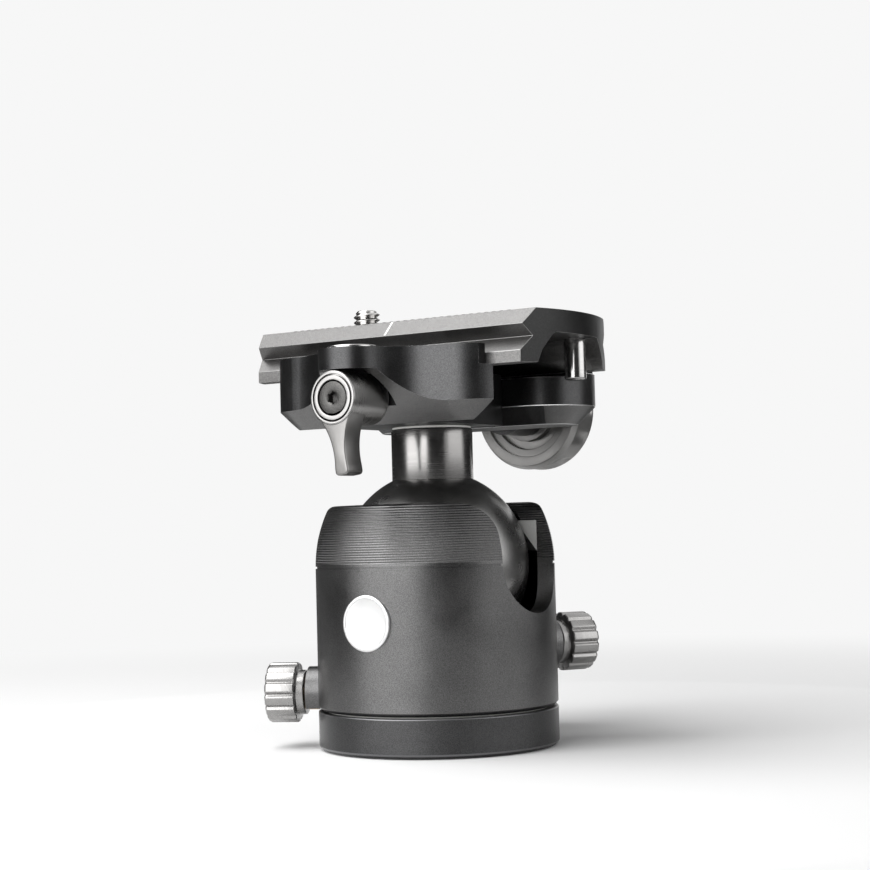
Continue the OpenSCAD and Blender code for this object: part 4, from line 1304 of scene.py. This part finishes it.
@dataclass
class Lever:
    """The pan lever: a turned barrel, a hollow-flanked arm and the bolt through them.

    Attributes:
        axis_z: the lever's axis above the tripod face.
        face: the barrel's face, counted from the head's axis towards -Y.
        back: the barrel's back.
        radius: the barrel's radius.
        arm_back: the arm's back.
        length: the arm's length below the axis.
        swing: the arm's turn from straight down towards +X, in degrees.
        waist: half the arm's width at its narrowest.
        flank_r: the radius of its hollow flanks.
        tip_w: half its width at the tip.
        bore: the radius of the bolt's hole.
        pocket_r: the radius of the bolt head's pocket.
        bolt_r: the bolt head's radius.
        cover: the bearings between which the barrel covers the arm's top, in degrees.
        sunk: how far that top stays inside the barrel's edge.
    """

    axis_z: float = 79.6
    face: float = 38.6
    back: float = 25.4
    radius: float = 6.0
    arm_back: float = 32.7
    length: float = 17.1
    swing: float = 7.0
    waist: float = 1.6
    flank_r: float = 16.0
    tip_w: float = 1.75
    bore: float = 2.52
    pocket_r: float = 3.9
    bolt_r: float = 3.7
    cover: tuple[float, float] = (-33.0, -147.0)
    sunk: float = 0.4

    def build(self) -> None:
        """Builds and dresses the lever and its bolt."""
        place = frame_of((0, 0, self.axis_z), (0, -1, 0))
        r, face = self.radius, self.face
        barrel = eased_path([
            (self.bore, self.back, 0), (r - 0.1, self.back, 0.2), (r, self.back + 0.4, 0.2), (r, face, 0.4),
            (r - 0.72, face, 0.06), (r - 0.72, face - 0.9, 0), (r - 1.1, face - 0.9, 0), (r - 1.1, face, 0.08),
            (3.98, face, 0.12), (self.pocket_r, face - 0.4, 0), (self.pocket_r, face - 3.4, 0),
            (self.bore, face - 3.4, 0),
        ], closed=True)
        Dresser.put(turned(barrel, 160, closed=True).build("lever_barrel", place), Body.LEVER, Slot.TITAN, TITAN_TURNED)
        Dresser.put(self.arm(place), Body.LEVER, Slot.TITAN, TITAN, replaces=("pan_lever",))
        bolt = socket_head(self.bolt_r, face - 3.35, face - 0.12, 2.5, 1.9)
        Dresser.put(bolt.build("lever_bolt_head", place), Body.LEVER, Slot.DARK_STEEL, BOLT_GREY)
        shank = eased_path([(0, 11.2, 0), (2.5, 11.2, 0.3), (2.5, face - 3.3, 0), (0, face - 3.3, 0)])
        Dresser.put(turned(shank, 64).build("lever_bolt_shank", place), Body.LEVER, Slot.DARK_STEEL, BOLT_GREY,
                    replaces=("lever_bolt",))
        Dresser.nodes(BRASS, "pan_shoe")

    def arm(self, place: np.ndarray) -> Piece:
        """The arm: two hollow flanks, each an arc that leaves the barrel and narrows to the waist, and a blunt tip.

        Args:
            place: where the lever's own axes lie.

        Returns:
            The arm.
        """
        centre_x = self.waist + self.flank_r
        centre_z = -math.sqrt((self.radius + self.flank_r - 0.08) ** 2 - centre_x**2)
        first = math.asin((-3.2 - centre_z) / self.flank_r)
        last = -math.acos((centre_x - self.tip_w) / self.flank_r)
        angles = np.linspace(first, last, 28)
        left = np.stack((-centre_x + self.flank_r * np.cos(angles), centre_z + self.flank_r * np.sin(angles)), 1)
        tip = eased_path([(-self.tip_w, left[-1, 1], 0), (-self.tip_w, -self.length, 1.3),
                          (self.tip_w, -self.length, 1.3), (self.tip_w, left[-1, 1], 0)], steps=8)
        right = left[::-1] * (-1, 1)
        bearing = np.linspace(math.radians(self.cover[0]), math.radians(self.cover[1]), 25)
        seat = (self.radius - self.sunk) * np.stack((np.cos(bearing), np.sin(bearing)), 1)
        outline = np.concatenate((left, tip[1:-1], right, seat))
        turn = math.radians(self.swing)
        spin = np.array([[math.cos(turn), -math.sin(turn)], [math.sin(turn), math.cos(turn)]])
        return slab(outline @ spin.T, self.arm_back, self.face - 0.15, 0.4).build("lever_arm", place)


@dataclass
class FarJaw:
    """The moving jaw and the sleeve between it and the knob."""

    screw_z: float = 79.8
    sleeve_r: float = 6.5
    sleeve_bore: float = 3.05
    sleeve_from: float = 32.2
    sleeve_to: float = 42.97

    def build(self) -> None:
        """Builds and dresses the jaw and its sleeve."""
        jaw("far_jaw", "far_jaw_block", Body.JAW)
        bore, r, start, end = self.sleeve_bore, self.sleeve_r, self.sleeve_from, self.sleeve_to
        sleeve = eased_path([(bore, start, 0), (r, start, 0), (r, end, 0.3), (bore, end, 0)], closed=True)
        place = frame_of((0, 0, self.screw_z), (0, 1, 0))
        Dresser.put(turned(sleeve, 96, closed=True).build("jaw_sleeve", place), Body.JAW, Slot.BLACK, BLACK_BLAST,
                    replaces=("thrust_sleeve",))


@dataclass
class Knob:
    """The clamp's knob: a stepped inner face, a scalloped side and a dark cap."""

    screw_z: float = 79.8
    start: float = 43.0
    length: float = 10.0
    radius: float = 15.0
    scallops: int = 12
    scallop_depth: float = 0.5
    scallop_share: float = 0.62

    def build(self) -> None:
        """Builds and dresses the knob and its cap."""
        place = frame_of((0, 0, self.screw_z), (0, 1, 0))
        s, e, r = self.start, self.start + self.length, self.radius
        profile = eased_path([
            (3.02, s, 0), (7.8, s, 0.15), (7.8, s + 2.4, 0.15), (9.9, s + 2.4, 0.15), (9.9, s + 1.0, 0.12),
            (11.8, s + 1.0, 0.15), (11.8, s, 0.15), (r - 0.8, s, 0.25), (r, s + 1.6, 0.5), (r, s + 2.0, 0),
            (r, s + 2.4, 0), (r, s + 2.8, 0), (r, e - 2.8, 0), (r, e - 2.4, 0), (r, e - 2.0, 0),
            (r, e - 1.5, 0.4), (r - 1.5, e, 0.6), (9.02, e, 0.15), (9.02, e - 1.2, 0), (3.02, e - 1.2, 0),
        ], closed=True)
        inside = np.minimum(profile[:, 1] - s - 2.0, e - 2.0 - profile[:, 1]) / 0.8
        weights = np.clip(inside, 0, 1) * np.clip((profile[:, 0] - 13.5) / 1.0, 0, 1)
        shell = fluted(profile, weights, self.scallops, self.scallop_depth, self.scallop_share, 576, closed=True)
        Dresser.put(shell.build("clamp_knob_grip", place), Body.KNOB, Slot.TITAN, KNOB_GREY, replaces=("clamp_knob",))
        cap = eased_path([(0, e - 1.15, 0), (8.98, e - 1.15, 0), (8.98, e - 0.1, 0.25), (7.2, e - 0.1, 0.1),
                          (7.0, e - 0.3, 0.1), (0, e - 0.3, 0)])
        Dresser.put(turned(cap, 128).build("clamp_knob_cap", place), Body.KNOB, Slot.BLACK, BLACK_BLAST,
                    replaces=("knob_cap",))
        Dresser.nodes(STEEL, "clamp_screw")


@dataclass
class Plate:
    """The camera plate with its pads, pins, index line and camera screw.

    Attributes:
        top: the height of the plate's upper face.
        flange_y: how far its flanks stand from the middle.
        flange_z: the height at which they start to slope inwards.
        deck_z: the height of its deck's underside.
        screw_x: where the camera screw's axis stands.
        pitch: the height of one turn of its thread.
        major: the thread's crest radius.
        minor: its root radius.
        thread_z: its lower end.
        tip: the screw's upper end.
        head_z: the height of its head's underside.
        head_r: the head's radius.
        knurls: how many flutes it has; their depth and their share of a pitch follow.
        ring_z: the height of the ring's axis.
        ring_r: the radius of its bow.
        wire_r: the radius of its bar.
        pad_y: how far the pads' middles stand from the plate's.
        pad_x: half their length.
        pad_half: half their width.
        rib: how far their tops sink between the ribs.
        rib_pitch: the ribs' spacing.
        pin_x: how far the stop pins stand from the middle along the plate.
        pin_y: how far they stand from it across the plate.
        line_half: half the index line's width.
        line_lift: how far it stands out.
    """

    top: float = 98.1
    flange_y: float = 18.4
    flange_z: float = 94.5
    deck_z: float = 93.0
    screw_x: float = -18.0
    pitch: float = 1.27
    major: float = 3.175
    minor: float = 2.475
    thread_z: float = 98.5
    tip: float = 103.3
    head_z: float = 90.3
    head_r: float = 7.2
    knurls: int = 48
    knurl_depth: float = 0.2
    knurl_share: float = 0.6
    ring_z: float = 89.35
    ring_r: float = 8.3
    wire_r: float = 0.9
    pad_y: float = 9.6
    pad_x: float = 30.98
    pad_half: float = 3.28
    rib: float = 0.14
    rib_pitch: float = 2.0
    pin_x: float = 34.7
    pin_y: float = 8.0
    line_half: float = 0.28
    line_lift: float = 0.014

    def build(self) -> None:
        """Builds and dresses the plate and all that it carries."""
        deck = eased_node("camera_plate", "plate_deck", 0.2)
        for face in deck.data.polygons:
            upright, endwise = abs(face.normal.z) < 0.05, abs(face.normal.x) > 0.2
            # the upright end faces take a painted shade
            if upright and endwise:
                face.material_index = 2
        # the plate's eased edges take a painted highlight
        Dresser.put(deck, Body.PLATE, Slot.PLATE, PLATE_BLAST, PAINTED_PLATE_EDGE_HIGHLIGHT, PLATE_END_PAINTED_SHADE, replaces=("camera_plate",))
        self.pads()
        self.pins()
        self.index_line()
        self.screw()
        self.ring()
        Dresser.nodes(WHITE_POLYMER, "screw_slider")

    def pads(self) -> None:
        """Two ribbed pads: a rounded section carried along X, its top sinking between the ribs."""
        for side, name in ((-1, "near_pad"), (1, "far_pad")):
            low, high = side * self.pad_y - self.pad_half, side * self.pad_y + self.pad_half
            base, top = self.top - 0.55, self.top + 0.35
            section = eased_path([(low, base, 0), (high, base, 0), (high, top, 0.25), (low, top, 0.25)], closed=True)
            x = np.linspace(-self.pad_x, self.pad_x, 497)[:, None]
            rib = self.rib * (0.5 - 0.5 * np.cos(TAU * x / self.rib_pitch)) ** 2
            weight = np.clip((section[:, 1] - self.top - 0.1) / 0.2, 0, 1)
            z = section[:, 1] - rib * weight
            surface = np.dstack((np.broadcast_to(x, z.shape), np.broadcast_to(section[:, 0], z.shape), z))
            Dresser.put(Shell().bar(surface).build(name), Body.PLATE, Slot.RUBBER, RUBBER,
                        replaces=("grip_pads",) if side < 0 else ())

    def pins(self) -> None:
        """Two turned stop pins with an eased foot."""
        for side, name in ((-1, "left_pin"), (1, "right_pin")):
            foot = self.deck_z - 9.45
            profile = eased_path([
                (0, foot, 0), (1.0, foot, 0.1), (1.1, foot + 0.1, 0.1), (2.0, foot, 0.1), (2.5, foot + 0.35, 0.25),
                (2.5, self.deck_z - 0.02, 0.05), (1.5, self.deck_z - 0.02, 0), (1.5, self.deck_z + 2.8, 0),
                (0, self.deck_z + 2.8, 0),
            ])
            place = moved(side * self.pin_x, side * self.pin_y)
            Dresser.put(turned(profile, 96).build(name, place), Body.PLATE, Slot.POLISHED, POLISHED,
                        replaces=("stop_pins",) if side < 0 else ())

    def index_line(self) -> None:
        """The white index line across the plate's near top edge: a thin strip that follows the slope."""
        low = (-self.flange_y + 0.2, self.flange_z + 0.2)
        high = (-self.flange_y + 3.45, self.flange_z + 3.45)
        a, b = np.array((-self.line_half, *low)), np.array((-self.line_half, *high))
        width, out = np.array((2 * self.line_half, 0, 0)), np.array((0, -self.line_lift, self.line_lift))
        ring = np.array([a, a + width, b + width, b])
        shell = Shell().bar(np.array([ring - out, ring + out]))
        Dresser.put(shell.build("index_line"), Body.PLATE, Slot.PLATE, WHITE_PAINT)

    def screw(self) -> None:
        """The camera screw: a knurled head with two ears for the ring, and a threaded shank."""
        place, z, r = moved(self.screw_x), self.head_z, self.head_r
        path = eased_path([(0, z, 0), (r, z, 0.4), (r, z + 2.2, 0.2), (2.4, z + 2.2, 0), (2.4, z + 2.4, 0)])
        weights = np.where(path[:, 0] > r - 0.6, 1.0, 0.0)
        head = fluted(path, weights, self.knurls, self.knurl_depth, self.knurl_share, 480)
        Dresser.put(head.build("camera_screw_head", place), Body.CAMERA_SCREW, Slot.POLISHED, STEEL_BRIGHT)
        for side, name in ((-1, "near_ear"), (1, "far_ear")):
            outline = eased_path([
                (-1.8, z - 3.0, 0.9), (1.8, z - 3.0, 0.9), (1.8, z + 0.5, 0), (-1.8, z + 0.5, 0),
            ], closed=True)
            ear = slab(outline, -side * 4.6 - 1.0, -side * 4.6 + 1.0, 0.2)
            Dresser.put(ear.build(name, frame_of((self.screw_x, 0, 0), (0, -1, 0))), Body.CAMERA_SCREW, Slot.POLISHED,
                        STEEL_BRIGHT)
        thread = threaded(self.minor, self.major, self.pitch, self.thread_z, self.tip - 0.35, 0.5)
        around = thread.shape[1]
        foot = polar_rows([(0.0, z + 2.3), (self.minor, z + 2.3), (self.minor, self.thread_z - 0.1)], around)
        end = polar_rows([(self.minor - 0.2, self.tip - 0.1), (self.minor - 0.5, self.tip), (0.0, self.tip)], around)
        shell = Shell().grid(np.concatenate((foot, thread, end)), wrap_columns=True)
        Dresser.put(shell.build("camera_screw_thread", place, 50), Body.CAMERA_SCREW, Slot.POLISHED, STEEL_BRIGHT,
                    replaces=("camera_screw",))

    def ring(self) -> None:
        """The folding ring: a bar bent through half a circle, with its ends turned in to the ears."""
        bow = round_z(self.ring_r, np.linspace(-math.pi / 2, math.pi / 2, 65), 0)
        ends = np.array([(0.0, 3.7, 0), (0.0, 5.0, 0), (0.0, 6.6, 0), (0.0, 7.5, 0)])
        path = np.concatenate((ends * (1, -1, 1), bow, ends[::-1]))
        for _ in range(2):
            path[1:-1] = (path[:-2] + 2 * path[1:-1] + path[2:]) / 4
        wire = swept(path, self.wire_r * 0.97, 20).build("pull_ring", moved(self.screw_x, 0, self.ring_z), 60)
        Dresser.put(wire, Body.RING, Slot.POLISHED, STEEL_BRIGHT, replaces=("d_ring",))


@dataclass
class Studio:
    """The floor, the world, the soft lamps and the camera.

    Attributes:
        pale: the background's brightness.
        world: the level at which the world lights the object.
        azimuth: the camera's direction from the ball, counted from -Y towards +X, in degrees.
        distance: the camera's level distance from the ball's axis, in metres.
        height: the camera's height above the tripod face, in metres.
        pitch: how far it looks up, in degrees.
        aim: how far it looks to the side of the ball's axis, in degrees.
        roll: how far it leans clockwise, in degrees.
        lens: its focal length, in millimetres.
        sensor: its sensor's width, in millimetres.
        floor_drop: how far the floor lies under the tripod face, in metres.
        fade: the distances between which the floor turns into the backdrop, in metres.
        flag_r: the radius of the dark flags, in metres.
        flag_top: their height, in metres.
        plate_z: the height that the box above looks at, in metres.
        floor_rings: the radii of the floor's rings, in metres.
        floor_shade: its brightness.
        low_rings: the radii of the grey cloth's rings, in millimetres.
    """

    pale: float = 0.93
    world: float = 0.20
    azimuth: float = 34.0
    distance: float = 0.435
    height: float = 0.05115
    pitch: float = 2.8
    aim: float = 0.1
    roll: float = 1.49
    lens: float = 76.55
    sensor: float = 36.0
    floor_drop: float = 0.00008
    fade: tuple[float, float] = (0.10, 0.42)
    flag_r: float = 0.9
    flag_top: float = 1.0
    plate_z: float = 0.09
    floor_rings: tuple[float, ...] = (0.0, 0.15, 0.5, 1.2, 3.0)
    floor_shade: float = 0.86
    low_rings: Point = (170.0, 400.0, 880.0)

    def build(self) -> None:
        """Builds the floor, the world, the lamps, the dark flags and the camera."""
        self.camera()
        self.sky()
        self.floor()
        self.lamp("key_box", -11.0, 0.60, (0.02, 0.66), 0.70, 3.0)
        self.lamp("fill_box", 104.0, 0.70, (0.07, 0.72), 0.60, 1.1)
        self.area("top_box", Vector((-0.26, -0.18, 0.64)), Vector((0, 0, self.plate_z)), (0.64, 0.56), 4.2)
        self.flag("front_flag", 22.0, 70.0)
        self.flag("left_flag", -150.0, -48.0)
        self.flag("right_flag", 134.0, 174.0)
        self.low_flag()

    def camera(self) -> None:
        """Places the camera: it stands at the azimuth, looks a little up and leans a little."""
        data = bpy.data.cameras.new("camera")
        data.lens, data.sensor_width = self.lens, self.sensor
        data.clip_start, data.clip_end = 0.01, 20.0
        made = linked("camera", data)
        a, look = math.radians(self.azimuth), math.radians(self.azimuth - self.aim)
        tilt, lean = math.radians(self.pitch), math.radians(self.roll)
        forward = Vector((-math.sin(look) * math.cos(tilt), math.cos(look) * math.cos(tilt), math.sin(tilt)))
        right = forward.cross(Vector((0, 0, 1))).normalized()
        up = right.cross(forward)
        leant_up = up * math.cos(lean) + right * math.sin(lean)
        leant_right = right * math.cos(lean) - up * math.sin(lean)
        turn = Matrix((leant_right, leant_up, -forward)).transposed().to_4x4()
        place = Vector((self.distance * math.sin(a), -self.distance * math.cos(a), self.height))
        made.matrix_world = Matrix.Translation(place) @ turn
        bpy.context.scene.camera = made

    def sky(self) -> None:
        """The world: a plain grey level for light, and the pale backdrop where a camera or mirror ray meets it."""
        world = bpy.data.worlds.new("studio")
        bpy.context.scene.world = world
        world.use_nodes = True
        g, nodes = Graph(world.node_tree), world.node_tree.nodes
        light, seen = nodes["Background"], g.add("ShaderNodeBackground")
        preset(light, {"Color": grey(1), "Strength": self.world})
        preset(seen, {"Color": grey(self.pale), "Strength": 1.0})
        path = g.add("ShaderNodeLightPath")
        seen_by = g.math("ADD", path.outputs["Is Camera Ray"], path.outputs["Is Glossy Ray"])
        seen_by = g.math("ADD", seen_by, path.outputs["Is Transmission Ray"], clamp=True)
        g.feed(nodes["World Output"].inputs["Surface"], g.mix(seen_by, light.outputs[0], seen.outputs[0]))

    def floor(self) -> None:
        """A round floor that fades into the backdrop away from the object."""
        profile = np.array([(radius, -self.floor_drop) for radius in self.floor_rings]) / MM
        piece = turned(profile, 96).build("floor")
        material, g, shader = paint("floor_paint")
        preset(shader, {"Base Color": grey(self.floor_shade), "Roughness": 0.9})
        glow = g.add("ShaderNodeEmission")
        preset(glow, {"Color": grey(self.pale)})
        reach = g.add("ShaderNodeVectorMath", operation="LENGTH")
        g.feed(reach.inputs[0], g.place())
        mixed = g.mix(g.ramp(reach.outputs["Value"], *self.fade, 0.0, 1.0), shader.outputs[0], glow.outputs[0])
        g.feed(g.tree.nodes["Material Output"].inputs["Surface"], mixed)
        piece.data.materials.append(material)

    def area(self, name: str, spot: Vector, aim: Vector, size: tuple[float, float], glow: float) -> None:
        """A soft box, unseen by the camera.

        Args:
            name: its name.
            spot: where it stands, in metres.
            aim: the point that it looks at.
            size: its width and height, in metres.
            glow: its brightness where a mirror shows it, with 1 for white.
        """
        data = bpy.data.lights.new(name, "AREA")
        data.shape, data.size, data.size_y = "RECTANGLE", size[0], size[1]
        data.energy = math.pi * glow * size[0] * size[1]
        made = linked(name, data)
        made.matrix_world = Matrix.Translation(spot) @ (aim - spot).to_track_quat("-Z", "Y").to_matrix().to_4x4()
        made.visible_camera = False

    def lamp(self, name: str, azimuth: float, away: float, span: tuple[float, float], width: float,
             glow: float) -> None:
        """An upright soft box that faces the head's axis.

        Args:
            name: its name.
            azimuth: its direction, counted from -Y towards +X, in degrees.
            away: its distance from the axis.
            span: the heights of its lower and upper edges.
            width: its width.
            glow: its brightness.
        """
        a, middle = math.radians(azimuth), (span[0] + span[1]) / 2
        spot = Vector((away * math.sin(a), -away * math.cos(a), middle))
        self.area(name, spot, Vector((0, 0, middle)), (width, span[1] - span[0]), glow)

    def flag(self, name: str, start: float, end: float) -> None:
        """A dark upright cloth on an arc round the head, which only reflections see.

        Args:
            name: its name.
            start: the arc's first direction, counted from -Y towards +X, in degrees.
            end: its last direction.
        """
        a = np.radians(np.linspace(start, end, 25))
        line = self.flag_r * np.stack((np.sin(a), -np.cos(a), 0 * a), 1) / MM
        rise = np.array((0.0, 0.0, self.flag_top / MM))
        self.cloth(Shell().grid(np.array([line, line + rise])).build(name))

    def low_flag(self) -> None:
        """A grey cloth just over the floor round the head, which only reflections see."""
        profile = np.array([(radius, 0.0) for radius in self.low_rings])
        self.cloth(turned(profile, 64).build("low_flag"), 0.10)

    def cloth(self, piece: Piece, shade: float = 0.02) -> None:
        """Dresses a flag so that only reflections see it, and sets it apart from the object.

        Args:
            piece: the flag.
            shade: its brightness.
        """
        material, _, shader = paint(f"{piece.name}_cloth")
        preset(shader, {"Base Color": grey(shade), "Roughness": 1.0})
        piece.data.materials.append(material)
        piece.visible_camera = piece.visible_diffuse = piece.visible_shadow = False
        piece.visible_transmission = False


def main() -> None:
    """Builds the studio, then each sub-assembly in order."""
    logging.basicConfig(level=logging.INFO, format="%(message)s")
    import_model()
    bpy.context.scene.view_settings.view_transform = "Standard"
    Studio().build()
    Base().build()
    Housing().build()
    MainKnob(206.0, 25.0, 31.2, 17.0, 16.0).build()
    SmallKnob(150.0, 22.4, 31.2, 9.0, 7.0, "drag", Body.DRAG_KNOB).build()
    SmallKnob(296.0, 12.7, 31.2, 9.0, 7.0, "pan", Body.PAN_KNOB).build()
    Ball().build()
    Clamp().build()
    Lever().build()
    FarJaw().build()
    Knob().build()
    Plate().build()
    bpy.context.view_layer.update()


if __name__ == "__main__":
    main()
